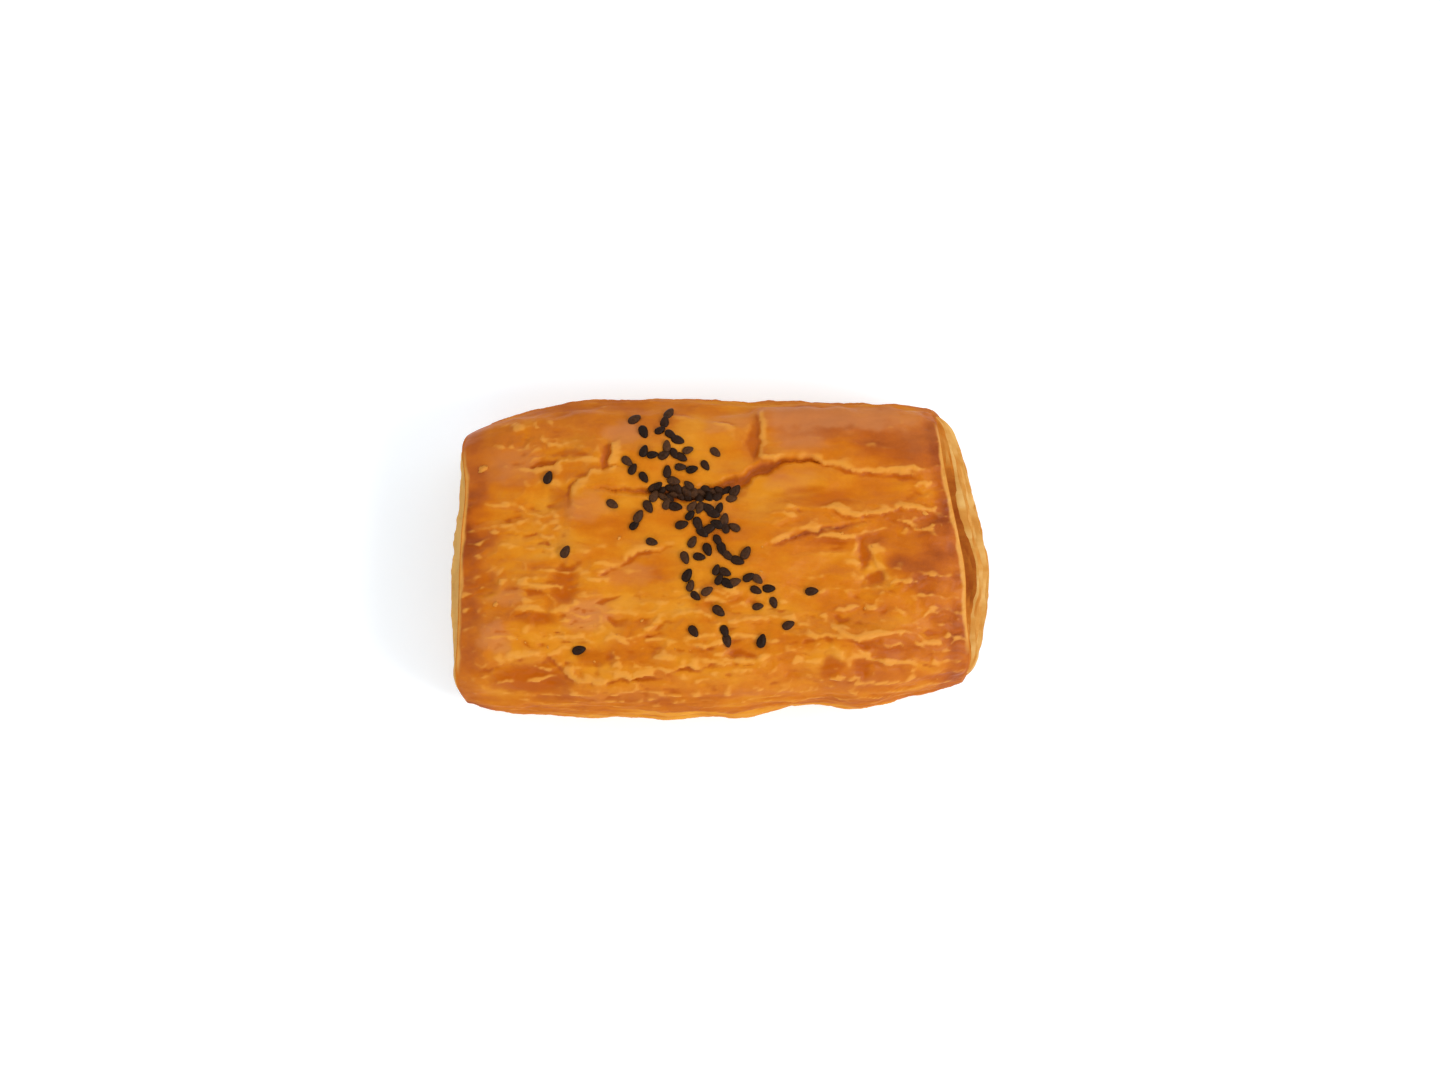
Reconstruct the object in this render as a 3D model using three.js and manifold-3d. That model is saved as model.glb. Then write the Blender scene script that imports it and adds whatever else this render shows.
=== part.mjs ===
// A rectangular cheese puff pastry: laminated dough folded round its filling, cut off at both ends,
// glazed, strewn with black sesame seeds and baked until the top crust tore.
// Millimetres, +Z up. The origin is under the middle of the base, +X is the long way and -Y the front.
import * as THREE from 'three';
import { mergeVertices } from 'three/addons/utils/BufferGeometryUtils.js';
import Module from 'manifold-3d';

const wasm = await Module();
wasm.setup();

// Driving dimensions
const HEIGHT = 33; // base to the top of the crown
const BULGE_HEIGHT = 11; // where the folds and ends stand out furthest
const END_DROP = 4.5; // how much lower the crown is at the ends
const END_DROP_POWER = 2.5; // how close to the ends it drops
const SHOULDER_EXPONENT = 4; // roundness of the upper folds: 2 is an ellipse, more is squarer
const FOOT_EXPONENT = 4.5; // roundness of the lower folds
const CORNER_EXPONENT = 12; // roundness of the corners seen from above
const FOOT_PRESS = 1.06; // how far the dough would sink into the baking sheet that flattens it

// The outline seen from above: four edges as [x, y], which meet at the corners before these are rounded
const FRONT_EDGE = [
  [-59.6, -33.4], [-47, -34.6], [-15, -35.6], [4, -35.2], [20, -32.6], [31, -33.4], [43, -30.6],
  [57.2, -29],
];
const BACK_EDGE = [
  [-58.8, 28.4], [-42, 32.6], [-24, 35.2], [-8, 34.8], [20, 34.5], [36, 34.4], [51.6, 34.6],
];
const LEFT_END = [[-59.6, -33.4], [-59.2, -24], [-60, -8], [-59.6, 3], [-58, 15], [-58.8, 28.4]];
const RIGHT_END = [[57.2, -29], [59.1, -16], [60.7, -6], [59.8, 3], [55.3, 22], [51.6, 34.6]];

// The cut ends lean back from a bulge low down, and the dough shows there as stacked layers
const LAYERS = 4;
const LAYER_DEPTH = 3; // from a layer's lip to the gap under it, at most
const UNDERCUT = 1 / 3; // where the gap is deepest, as a share of the layer from its lip down
const LAYER_UNEVENNESS = 0.3; // how much the depth varies along a layer
const LAYER_WAVES = 6; // how often it varies, in radians for half a layer
const LAYER_SHIFT = 2.5; // how far the variation moves on from one layer to the next, in radians
const LAYER_FADE = 6; // how close to the folds the layers die away
const LEFT_LEAN = 3.2; // how far the top lip lies behind the bulge
const RIGHT_LEAN = 7.4;
const FOOT_LEAN = 2.4; // how far the foot lies behind the bulge
const LEAN_CURVE = 1.3; // 1 is a straight slope from the bulge to the lip
const LEAN_LOSS = 0.75; // how much less the lip leans at the folds
const BACK_LEAN_LOSS = 0.2; // and at the back of the right end
const LEAN_SPREAD = 5; // how quickly the lean dies away from an end

// Slow unevenness of the crown: [height, waves along x, waves along y, phase]
const SWELLS = [[0.55, 1.6, 0.7, 0.4], [0.4, 2.7, -1.3, 2.1], [0.3, -1.1, 2.4, 4.0]];

// Grid of the dough's skin: pieces along, across and up
const GRID_ALONG = 32;
const GRID_ACROSS = 18;
const GRID_UP = 3 * LAYERS;

// Torn sheets of crust that stand proud: an outline as [x, y] and the sheet's thickness
const SHEETS = [
  { // back right plate
    thickness: 0.9,
    outline: [[8.5, 33], [8.4, 18], [18.7, 20.2], [27.7, 17.2], [38, 16.3], [48, 15.5], [44.5, 32]],
  },
  { // plate below the main crack
    thickness: 0.8,
    outline: [
      [-34, -0.4], [-34, 8.3], [-32.4, 13.9], [-28.6, 16.3], [-21, 15.5], [-15.3, 11.8], [-6.7, 10.2],
      [1, 10.8], [2, 3.7], [-12.8, 0.2], [-21.7, -3.1], [-26.5, -5.9],
    ],
  },
  { // back left plate
    thickness: 0.7,
    outline: [[-46, 30], [-43, 19.9], [-34.6, 19.4], [-25.2, 20], [-25, 24.1], [-29, 31]],
  },
  { // front plate
    thickness: 0.7,
    outline: [
      [-54, -23.3], [-44, -23.1], [-35, -25.3], [-10, -27.4], [7, -28.1], [14, -24.8], [36, -22.8],
      [38, -16.7], [16, -18.2], [2, -14.6], [-20, -17.2], [-36, -13.6], [-52, -15.6],
    ],
  },
  { // right wedge
    thickness: 0.7,
    outline: [[30, 1.7], [36.3, -8], [34, -10.6], [49, -11.3], [51, 2.2], [50, 5.8]],
  },
];
const TEAR_STEP = 4; // between the points of a torn edge
const TEAR_JAG = 0.45; // how far they stray
const TEAR_DRAW = 7; // starts the draw of their straying

// Cracks in the crust: a line of [x, y], the widest gap and the depth
const CRACKS = [
  { // main crack
    width: 2.6,
    depth: 1.4,
    line: [
      [-28.6, 13.5], [-23.4, 13.1], [-15.3, 12.5], [-6.7, 11.5], [3, 14.2], [8.5, 17.5], [18.7, 19.7],
      [24, 18.2],
    ],
  },
  { // right crease
    width: 1.2,
    depth: 0.9,
    line: [[10.5, 0.8], [17, 2.3], [23.4, 4.4], [33, 5.8]],
  },
];
const CRACK_STEPS = 8;

// Black sesame seeds, some lying singly as [x, y, turn in degrees], some in heaps. A heap is strewn along
// a line, straying to each side of it, with its seeds' middles no closer than its spacing
const SEED = { length: 2.9, width: 1.85, thickness: 1.2, taper: 0.22, unevenness: 0.12 };
const SEED_LIFT = 0.25; // how far a seed's middle lies above the crust
const SINGLE_SEEDS = [
  [-18.9, 28.6, 30], [-11.4, 30, 55], [-12.3, 28, 80], [-13.3, 26, 30], [-16.9, 25.6, -70], [-11, 25, -35],
  [-9.4, 23.8, -20], [-16.8, 21.2, 70], [-14.9, 20.4, 10], [-11.8, 22.4, 90], [-12.4, 20.4, 30],
  [-10.2, 20.8, -60], [-8.6, 20, -30], [-7.2, 21.6, 20], [-1.2, 21.2, -40], [-20.4, 19, -40],
  [-19.2, 17.3, 60], [-11.7, 16.8, 85], [-8.8, 17.8, 0], [-6.3, 17.3, 15], [-3.4, 18.2, -55],
  [-16.8, 15.5, -55], [-10.3, 14.8, -10], [-13.8, 13.7, 40], [-15.8, 9, -60], [-11.8, 9.6, 70],
  [-9.9, 9, -10], [-23.6, 9.6, -30], [-17.9, 6.9, 60], [-18.8, 5, 40], [-15, 1.3, -15], [-6.7, 7, 45],
  [-8.5, 5, 15], [-5, 5.2, -70], [-4, 3.4, -40], [-2.4, 4.2, 30], [-6.2, 1.3, 60], [-0.7, 1.6, -60],
  [0.2, -0.3, -70], [1.5, -1.8, -45], [3.6, -2.9, -20], [5.4, -1.2, 60], [-2.9, -0.4, -70], [-4.7, -2, -10],
  [-7.8, -2.2, -70], [-1, -4.9, 70], [0.9, -5.4, -25], [-0.4, -7, 60], [1.4, -7.9, -35], [3, -7.6, 20],
  [-7.3, -6, 60], [-6.6, -8.3, 70], [-5.5, -10.5, -40], [-3, -9.5, 30], [6, -6.5, 30], [7.9, -6.9, -40],
  [7.6, -9.3, -25], [10.4, -8.9, 0], [8, -12.8, 10], [11.4, -11.9, -70], [-0.5, -13.8, -40],
  [-5.9, -18.2, -55], [0.8, -18.2, -70], [1.3, -20.2, -75], [8.8, -20.2, 75], [14.6, -16.8, 25],
  [19.7, -9.4, 5], [-37.7, 15.7, 70], [-33.8, -0.7, 60], [-30.8, -22, 15],
];
const HEAPS = [
  { from: [-14.5, 12.4], to: [3, 12], stray: 0.7, spacing: 1.35, count: 26 },
  { from: [-6.6, 9.8], to: [-1, 8.4], stray: 0.8, spacing: 1.6, count: 7 },
  { from: [-2.4, 7.4], to: [2.2, 4], stray: 0.4, spacing: 1.6, count: 4 },
];
const HEAP_TRIES = 300; // draws for a heap, at most
const SEED_DRAW = 20; // starts the draws of the heaps and the seeds' sizes

const CRUST_COLOUR = 0xd27a1e;
const CRUST_ROUGHNESS = 0.5;

// A repeatable run of numbers from 0 to 1
function randomRun(seed) {
  let state = seed;
  return () => {
    state = (1664525 * state + 1013904223) % 4294967296;
    return state / 4294967296;
  };
}

// A smooth line through points
function smoothLine(points) {
  return new THREE.SplineCurve(points.map(([x, y]) => new THREE.Vector2(x, y)));
}
const front = smoothLine(FRONT_EDGE);
const back = smoothLine(BACK_EDGE);
const left = smoothLine(LEFT_END);
const right = smoothLine(RIGHT_END);

// A point of the curved patch that the edges span: u runs from the left end to the right, v front to back
function planPoint(u, v) {
  const alongEdges = front.getPointAt(u).lerp(back.getPointAt(u), v);
  const acrossEnds = left.getPointAt(v).lerp(right.getPointAt(v), u);
  const frontChord = front.getPointAt(0).lerp(front.getPointAt(1), u);
  const backChord = back.getPointAt(0).lerp(back.getPointAt(1), u);
  return alongEdges.add(acrossEnds).sub(frontChord.lerp(backChord, v));
}

// Height of the crown over a point of the plan
function crownHeight(u, v) {
  const along = 2 * u - 1;
  const drop = END_DROP * Math.abs(along) ** END_DROP_POWER;
  const swell = SWELLS.reduce(
    (sum, [height, alongX, alongY, phase]) =>
      sum + height * Math.sin(2 * Math.PI * (alongX * u + alongY * v) + phase), 0);
  return HEIGHT - drop + swell;
}

// How far a cut end lies behind the outline, at a share of the width and of the height
function endLean(onRight, side, rise) {
  const lean = onRight ? RIGHT_LEAN : LEFT_LEAN;
  const loss = onRight && side > 0 ? BACK_LEAN_LOSS : LEAN_LOSS;
  const atFoot = FOOT_LEAN * rise * rise;
  const atTop = lean * rise ** LEAN_CURVE * (1 - loss * side * side);
  return rise > 0 ? atTop : atFoot;
}

// Layers of a cut end stand out at their upper lips and fall back under them, less so towards the folds
function layerRelief(across, up) {
  const layer = LAYERS * (1 - up) / 2;
  const wave = Math.sin(LAYER_WAVES * across + LAYER_SHIFT * Math.floor(layer));
  const depth = LAYER_DEPTH * (1 - LAYER_UNEVENNESS * (1 - wave)) * (1 - across ** LAYER_FADE);
  const down = layer - Math.floor(layer);
  return -depth * Math.min(down / UNDERCUT, (1 - down) / (1 - UNDERCUT));
}

// Height on the block, from -1 to 1, counted from the bulge so that its rows lie evenly from base to crown
function fromBulge(up) {
  const share = (up + 1) / 2;
  const bulge = BULGE_HEIGHT / HEIGHT;
  return share > bulge ? (share - bulge) / (1 - bulge) : share / bulge - 1;
}

// A point of a square from -1 to 1, moved to the square with rounded corners
function rounded(across, up, exponent) {
  const drawnIn = 1 - 2 ** (-1 / exponent); // how far the corners come in
  return [
    across * (1 - drawnIn * Math.abs(up) ** exponent),
    up * (1 - drawnIn * Math.abs(across) ** exponent),
  ];
}

// Moves a point of a block, with a along, b across and up from -1 to 1, to its place on the pastry
function doughPoint(a, b, up) {
  const c = fromBulge(up);
  const [side, rise] = rounded(b, c, c > 0 ? SHOULDER_EXPONENT : FOOT_EXPONENT);
  const [planA, planB] = rounded(a, side, CORNER_EXPONENT);
  const u = (planA + 1) / 2;
  const v = (planB + 1) / 2;
  const point = planPoint(u, v);
  const height = rise > 0
    ? BULGE_HEIGHT + (crownHeight(u, v) - BULGE_HEIGHT) * rise
    : BULGE_HEIGHT * (1 + FOOT_PRESS * rise);
  const lean = endLean(a > 0, side, rise) * Math.abs(a) ** LEAN_SPREAD;
  const relief = Math.abs(a) === 1 ? layerRelief(b, up) : 0;
  return new THREE.Vector3(point.x + Math.sign(a) * (relief - lean), point.y, height);
}

// The dough's skin: a block whose points are moved to the pastry's shape
function doughGeometry() {
  const geometry = new THREE.BoxGeometry(2, 2, 2, GRID_ALONG, GRID_ACROSS, GRID_UP);
  const place = geometry.getAttribute('position');
  for (let i = 0; i < place.count; i++) {
    const moved = doughPoint(place.getX(i), place.getY(i), place.getZ(i));
    place.setXYZ(i, moved.x, moved.y, moved.z);
  }
  geometry.computeBoundingBox();
  const middle = geometry.boundingBox.getCenter(new THREE.Vector3());
  return geometry.translate(-middle.x, -middle.y, 0);
}

// A closed geometry as a solid for joining and cutting, and back
function solidOf(geometry) {
  const bare = geometry.clone();
  bare.deleteAttribute('normal');
  bare.deleteAttribute('uv');
  const merged = mergeVertices(bare);
  return new wasm.Manifold(new wasm.Mesh({
    numProp: 3,
    vertProperties: merged.getAttribute('position').array,
    triVerts: new Uint32Array(merged.index.array),
  }));
}

function geometryOf(solid) {
  const mesh = solid.getMesh();
  const geometry = new THREE.BufferGeometry();
  geometry.setAttribute('position', new THREE.BufferAttribute(mesh.vertProperties, 3));
  geometry.setIndex(new THREE.BufferAttribute(mesh.triVerts, 1));
  geometry.computeVertexNormals();
  return geometry;
}

// Dough that the baking sheet has flattened underneath
function flattened(solid) {
  const sheet = new THREE.BoxGeometry(4 * HEIGHT, 4 * HEIGHT, HEIGHT).translate(0, 0, -HEIGHT / 2);
  return solid.subtract(solidOf(sheet));
}

// A block over the crust with a given outline
function columnOver(points) {
  const shape = new THREE.Shape(points.map(([x, y]) => new THREE.Vector2(x, y)));
  const column = new THREE.ExtrudeGeometry(shape, { depth: HEIGHT, bevelEnabled: false });
  return solidOf(column.translate(0, 0, BULGE_HEIGHT));
}

// An outline with more points along its sides, each pushed a little off the line
function tornOutline(corners, random) {
  return corners.flatMap(([x, y], i) => {
    const [nextX, nextY] = corners[(i + 1) % corners.length];
    const steps = Math.ceil(Math.hypot(nextX - x, nextY - y) / TEAR_STEP);
    return Array.from({ length: steps }, (_, k) => [
      x + (nextX - x) * k / steps + TEAR_JAG * (2 * random() - 1),
      y + (nextY - y) * k / steps + TEAR_JAG * (2 * random() - 1),
    ]);
  });
}

// The outline of a crack: widest at its middle, pointed at both ends
function crackOutline({ line, width }) {
  const curve = smoothLine(line);
  const sides = [1, -1].map((side) => Array.from({ length: CRACK_STEPS + 1 }, (_, k) => {
    const share = k / CRACK_STEPS;
    const point = curve.getPointAt(share);
    const tangent = curve.getTangentAt(share);
    const half = side * width / 2 * Math.sin(Math.PI * share);
    return [point.x - tangent.y * half, point.y + tangent.x * half];
  }));
  return [...sides[0], ...sides[1].slice(1, -1).reverse()];
}

// The dough with its torn sheets raised and its cracks sunk, both level with the crust beside them
function tornDough() {
  const random = randomRun(TEAR_DRAW);
  const dough = doughGeometry();
  let solid = flattened(solidOf(dough));
  for (const { outline, thickness } of SHEETS) {
    const lifted = solidOf(dough.clone().translate(0, 0, thickness));
    solid = solid.add(lifted.intersect(columnOver(tornOutline(outline, random))));
  }
  for (const crack of CRACKS) {
    const lowered = solidOf(dough.clone().translate(0, 0, -crack.depth));
    solid = solid.subtract(columnOver(crackOutline(crack)).subtract(lowered));
  }
  return solid;
}

// A place drawn along a heap
function drawnPlace({ from, to, stray }, random) {
  const along = random();
  const offLine = () => 2 * stray * (random() + random() + random() - 1.5);
  return [from[0] + (to[0] - from[0]) * along + offLine(), from[1] + (to[1] - from[1]) * along + offLine()];
}

// The heaps' seeds as [x, y, turn], each clear of the ones before it
function heapedSeeds(random) {
  const seeds = [];
  for (const heap of HEAPS) {
    let toLay = heap.count;
    for (let tries = 0; toLay > 0 && tries < HEAP_TRIES; tries++) {
      const [x, y] = drawnPlace(heap, random);
      if (seeds.every(([otherX, otherY]) => Math.hypot(otherX - x, otherY - y) > heap.spacing)) {
        seeds.push([x, y, 360 * random()]);
        toLay--;
      }
    }
  }
  return seeds;
}

// A seed: a flattened drop that is narrower at one end
function seedGeometry(scale) {
  const geometry = new THREE.IcosahedronGeometry(1, 0);
  const place = geometry.getAttribute('position');
  for (let i = 0; i < place.count; i++) {
    place.setY(i, place.getY(i) * (1 - SEED.taper * place.getX(i)));
  }
  return geometry.scale(scale * SEED.length / 2, scale * SEED.width / 2, scale * SEED.thickness / 2);
}

// Every seed, lying on the crust below its place
function seedSolids(crust) {
  const random = randomRun(SEED_DRAW);
  const target = new THREE.Mesh(geometryOf(crust));
  const up = new THREE.Vector3(0, 0, 1);
  return [...SINGLE_SEEDS, ...heapedSeeds(random)].map(([x, y, turn]) => {
    const scale = 1 + SEED.unevenness * (2 * random() - 1);
    const ray = new THREE.Raycaster(new THREE.Vector3(x, y, 2 * HEIGHT), up.clone().negate());
    const [hit] = ray.intersectObject(target);
    const lie = new THREE.Quaternion().setFromUnitVectors(up, hit.face.normal);
    const middle = hit.point.clone().addScaledVector(hit.face.normal, SEED_LIFT);
    const geometry = seedGeometry(scale).rotateZ(THREE.MathUtils.degToRad(turn)).applyQuaternion(lie);
    return solidOf(geometry.translate(middle.x, middle.y, middle.z));
  });
}

// The whole pastry as one solid, with any hollow that the seeds close over filled
function pastrySolid() {
  const crust = tornDough();
  const whole = seedSolids(crust).reduce((sum, seed) => sum.add(seed), crust);
  const bodies = whole.decompose();
  return bodies.sort((one, other) => other.volume() - one.volume())[0];
}

const pastry = new THREE.Mesh(
  geometryOf(pastrySolid()),
  new THREE.MeshStandardMaterial({ color: CRUST_COLOUR, roughness: CRUST_ROUGHNESS, metalness: 0 }),
);
pastry.name = 'pastry';

const cheesePastry = new THREE.Group();
cheesePastry.add(pastry);

export default cheesePastry;
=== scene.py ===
import itertools
import math
import zlib

import bpy
import numpy as np
from mathutils import Color, Euler, Matrix, Vector
from mathutils.bvhtree import BVHTree


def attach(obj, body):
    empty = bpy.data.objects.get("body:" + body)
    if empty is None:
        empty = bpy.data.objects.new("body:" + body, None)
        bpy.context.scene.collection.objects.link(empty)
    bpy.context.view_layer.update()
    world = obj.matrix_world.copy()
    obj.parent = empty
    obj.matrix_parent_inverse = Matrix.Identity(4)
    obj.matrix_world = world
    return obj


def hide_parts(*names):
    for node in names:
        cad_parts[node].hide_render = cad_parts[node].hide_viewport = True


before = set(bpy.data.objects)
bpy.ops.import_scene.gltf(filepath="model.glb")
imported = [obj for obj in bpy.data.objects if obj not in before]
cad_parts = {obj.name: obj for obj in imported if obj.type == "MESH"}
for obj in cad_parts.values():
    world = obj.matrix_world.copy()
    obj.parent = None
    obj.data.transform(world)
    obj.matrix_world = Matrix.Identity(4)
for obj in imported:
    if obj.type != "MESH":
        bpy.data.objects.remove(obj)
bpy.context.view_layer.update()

MM = 0.001
UP = Vector((0, 0, 1))
FAR = 1e9
TINY = 1e-9
RUN_FACTOR = 1664525
RUN_ADDS = 1013904223
RUN_RANGE = 2 ** 32

# Noise is given as (amount, waves' length and width, octaves), and straying with an amount across as well
RAGGED = (0.9, 0.7, 4, 4, 4)  # straying of the relief's edges

# The dough's form, as in the solid
HEIGHT = 33.0
BULGE_HEIGHT = 11.0
END_DROP = 4.5
END_DROP_POWER = 2.5
SHOULDER_EXPONENT = 4.0
FOOT_EXPONENT = 4.5
CORNER_EXPONENT = 12
FOOT_PRESS = 1.06
FRONT_EDGE = [
    (-59.6, -33.4), (-47, -34.6), (-15, -35.6), (4, -35.2), (20, -32.6), (31, -33.4), (43, -30.6),
    (57.2, -29),
]
BACK_EDGE = [(-58.8, 28.4), (-42, 32.6), (-24, 35.2), (-8, 34.8), (20, 34.5), (36, 34.4), (51.6, 34.6)]
LEFT_END = [(-59.6, -33.4), (-59.2, -24), (-60, -8), (-59.6, 3), (-58, 15), (-58.8, 28.4)]
RIGHT_END = [(57.2, -29), (59.1, -16), (60.7, -6), (59.8, 3), (55.3, 22), (51.6, 34.6)]
SWELLS = [(0.55, 1.6, 0.7, 0.4), (0.4, 2.7, -1.3, 2.1), (0.3, -1.1, 2.4, 4.0)]

# Layers of the cut ends, as in the solid
LAYERS = 4
LAYER_DEPTH = 3.0
UNDERCUT = 1 / 3
LAYER_UNEVENNESS = 0.3
LAYER_WAVES = 6
LAYER_SHIFT = 2.5
LAYER_FADE = 6
LEFT_LEAN = 3.2
RIGHT_LEAN = 7.4
FOOT_LEAN = 2.4
LEAN_CURVE = 1.3
LEAN_LOSS = 0.75
BACK_LEAN_LOSS = 0.2  # at the back of the right end
LEAN_SPREAD = 5

# Thin leaves that each layer opens into
LEAF_PLACES = (0.0, 0.2, 0.37, 0.54, 0.7, 0.86)  # how far down the layer, as shares of its height
LEAF_STRAY = 0.07
LEAF_CELLS = (90, 5)
LEAF_DEPTH = 6.0
LEAF_THICKNESS = (0.4, 0.85)  # at the lip and furthest in
LEAF_PROUD = 0.3  # how far the longest stand out from the end
LEAF_WAVE = 0.05  # as a share of the half height
LEAF_CURL = 0.4
LEAF_TEAR = 0.8
LEAF_WORN = 0.2  # how far the tear spreads along a lip
LEAF_JAG = 0.25  # small jags in it, as a share of it
TOP_LEAF = (0, LEAF_PLACES[0])  # the crust takes its place
FOOT_LEAF = (LAYERS - 1, LEAF_PLACES[-1])  # the base takes its place
LEAF_FOOT = 0.1  # how far the lowest lies clear of the table
LEAF_REACH = 0.97  # how far they run towards the folds, as a share of the half width
LEAF_SINK = 1.2  # how far they draw back into the end wall there
SINK_POWER = 24
WALL_BACK = 2.2  # how far the end wall lies back behind them
WALL_TOP = 0.93  # how far up that is full, as a share of the half height
WALL_FOOT = 1.5  # height from which the wall has its full depth

# Unevenness along a leaf: (waves for half its length, row of the noise, octaves)
LEAF_WAVES = (2, 0, 3)
LEAF_TEARS = (2.5, 3, 3)
LEAF_JAGS = (14, 5, 2)
LEAF_CURLS = (3, 7, 2)
LEAF_TINTS = (4, 9, 3)

# How pale the cut dough is, from 0 to 1; its darker values deep in the gaps, under the crust and on the
# wall behind are painted shade
LEAF_PALE = {-1: 0.7, 1: 0.38}  # leaves of the left and the right end; the left ones are painted paler, as painted light where the key light leaves them in shade
LIP_PALE = 0.45  # how much paler they are at a layer's lip; deeper in the gap they are painted in shade
LIP_NEAR = (1.1, 0.2)  # how far into the gap that begins and is full
LEAF_TINT = 0.25  # how much it varies along a leaf
LEAF_DARKENS = (0.9, 0.15)  # painted shade: how far in a leaf is dark and is pale, as shares of its depth
RECESS_PALE = 0.1  # leaves under the crust in the middle of the right end, dark with painted shade
RECESS_FADE = (0.35, 0.7)  # where these turn paler, as shares of the half width
RECESS_FADED = 0.4  # how much paler they are there
WALL_PALE = 0.1  # the wall behind the leaves, dark with painted shade
RIM_PALE = 0.7  # the crust's torn edge
CRUMB_PALE = 0.5

# The crust's torn edge at the left and the right end
RIM = {-1: (1.1, 0.85), 1: (1.3, 0.9)}  # its width, and how much of it shows
RIM_STRAY = (0.3, 5, 5, 3)
RIM_FADE = 14

# Torn sheets of crust, as in the solid: (thickness, outline)
SHEETS = [
    (0.9, [(8.5, 33), (8.4, 18), (18.7, 20.2), (27.7, 17.2), (38, 16.3), (48, 15.5), (44.5, 32)]),
    (0.8, [(-34, -0.4), (-34, 8.3), (-32.4, 13.9), (-28.6, 16.3), (-21, 15.5), (-15.3, 11.8), (-6.7, 10.2),
           (1, 10.8), (2, 3.7), (-12.8, 0.2), (-21.7, -3.1), (-26.5, -5.9)]),
    (0.7, [(-46, 30), (-43, 19.9), (-34.6, 19.4), (-25.2, 20), (-25, 24.1), (-29, 31)]),
    (0.7, [(-54, -23.3), (-44, -23.1), (-35, -25.3), (-10, -27.4), (7, -28.1), (14, -24.8), (36, -22.8),
           (38, -16.7), (16, -18.2), (2, -14.6), (-20, -17.2), (-36, -13.6), (-52, -15.6)]),
    (0.7, [(30, 1.7), (36.3, -8), (34, -10.6), (49, -11.3), (51, 2.2), (50, 5.8)]),
]
SHEET_SLOPE = 2.4  # half the width of the slope at their edges
TEAR_STEP = 4
TEAR_JAG = 0.45
TEAR_DRAW = 7

# Cracks, as in the solid: (widest gap, depth, line)
CRACKS = [
    (2.6, 1.4, [(-28.6, 13.5), (-23.4, 13.1), (-15.3, 12.5), (-6.7, 11.5), (3, 14.2), (8.5, 17.5),
                (18.7, 19.7), (24, 18.2)]),
    (1.2, 0.9, [(10.5, 0.8), (17, 2.3), (23.4, 4.4), (33, 5.8)]),
]
CRACK_SIDE = (-0.8, 0.9)
CRACK_SHADE = 0.45  # painted shade: how much browner the crust is painted in them
CRACK_SHADE_SPAN = (-0.2, 0.5)  # how far in that begins and is full

# Free edges of thin flakes: (step, line), with the flake on the left of the line
CREASES = [
    (0.45, [(8.6, 31.2), (8.4, 25.1), (8.6, 18.4)]),
    (0.45, [(8.6, 17.9), (18.7, 20.1), (23.4, 18.5), (27.7, 17.2), (38, 16.3), (48, 15.5)]),
    (0.5, [(-20, 16.5), (-23.9, 17.4), (-29.2, 16.5), (-32.5, 13.9), (-33.5, 8.8)]),
    (0.5, [(-27, -6.5), (-21.7, -3), (-13.1, 0.2), (-9, 0.7)]),
    (0.55, [(-25.5, 20.1), (-28.5, 20), (-33.9, 19.5), (-38.2, 18.4), (-44, 18)]),
    (0.6, [(-24.3, 24), (-24.4, 20.4), (-24.6, 16.8)]),
    (0.35, [(8, 0.2), (10.5, 0.8), (17, 2.3), (23.4, 4.4)]),
    (0.45, [(10.8, 7.1), (14.6, 8.4), (23, 8.8), (27.3, 7.1), (33.8, 7.5), (41.3, 8.8), (48.6, 6.2)]),
    (0.35, [(17, 1.9), (24, 2.6), (32, 2.3)]),
    (0.42, [(30.4, 2.6), (32, -0.4), (34, -3.6), (37.2, -8.9)]),
    (0.5, [(36.4, -8.1), (42, -7), (47.8, -5.6)]),
    (0.55, [(-54, -25.8), (-47.7, -25), (-42, -22.5), (-37, -23.3), (-34.5, -26.8), (-29.5, -28.9),
            (-20, -28.1), (-9.5, -26.3), (3, -25), (14, -25.8)]),
    (0.4, [(6.6, 27), (-3.6, 28.6), (-11.6, 30.5)]),
    (0.35, [(-50, -9.5), (-44, -8), (-37, -9.5)]),
    (0.35, [(-46, -14.6), (-38, -13.2), (-30, -15)]),
    (0.35, [(14, -20.7), (24, -19.3), (36, -21.1), (46, -19.7)]),
    (0.35, [(-16, -20.2), (-6, -21.4), (4, -19.9), (12, -20.9)]),
]
CREASE_MARGIN = 8.0  # how far behind its edge a flake is gone
CREASE_REACH = 4.0  # how far behind its edge a flake has sunk to about a third of its step
CREASE_RISE = 1.6
CREASE_LIP = 0.25
GROOVE = 0.7  # depth of the groove before it, as a share of its step
GROOVE_PLACE = 0.45  # how far before its edge that lies
GROOVE_WIDTH = 0.55
BROKEN = (0.7, 7, 7, 2)  # how the share of its step that a flake keeps varies
BROKEN_MEAN = 0.65
BROKEN_LEAST = 0.15

# Pale raised streaks along the dough's length: (x, y, length)
STREAKS = [
    (-38.7, 0.2, 6), (-44.7, -7.1, 6), (-26.8, -6.7, 5), (-34, -15.2, 7), (-42.7, -22.5, 8),
    (-28, -28.6, 6), (-14.8, -27.3, 8), (-7.7, -32.2, 7), (-2, -20.7, 9), (41, -7.4, 7), (49, -16.2, 5),
    (17, -15.6, 7), (6, -25.8, 6), (18.5, -24.2, 8), (31.7, -18.7, 8), (14, 7.5, 6), (23.4, 8.7, 8),
    (31.3, 7.5, 6), (42.8, 9.1, 7), (44.8, 14.5, 5), (38.7, 17.5, 9), (10.3, 20, 6), (24.3, 2.5, 9),
    (-21, -19.5, 8), (26, -27.9, 10), (-48, -28.5, 5), (-12, -23.4, 7), (38, -24.6, 8), (46, -20.2, 6),
    (-34, -19, 6),
]
STREAK_HEIGHT = 0.34
STREAK_WIDTH = 0.55
STREAK_MARGIN = 3.0

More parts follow.
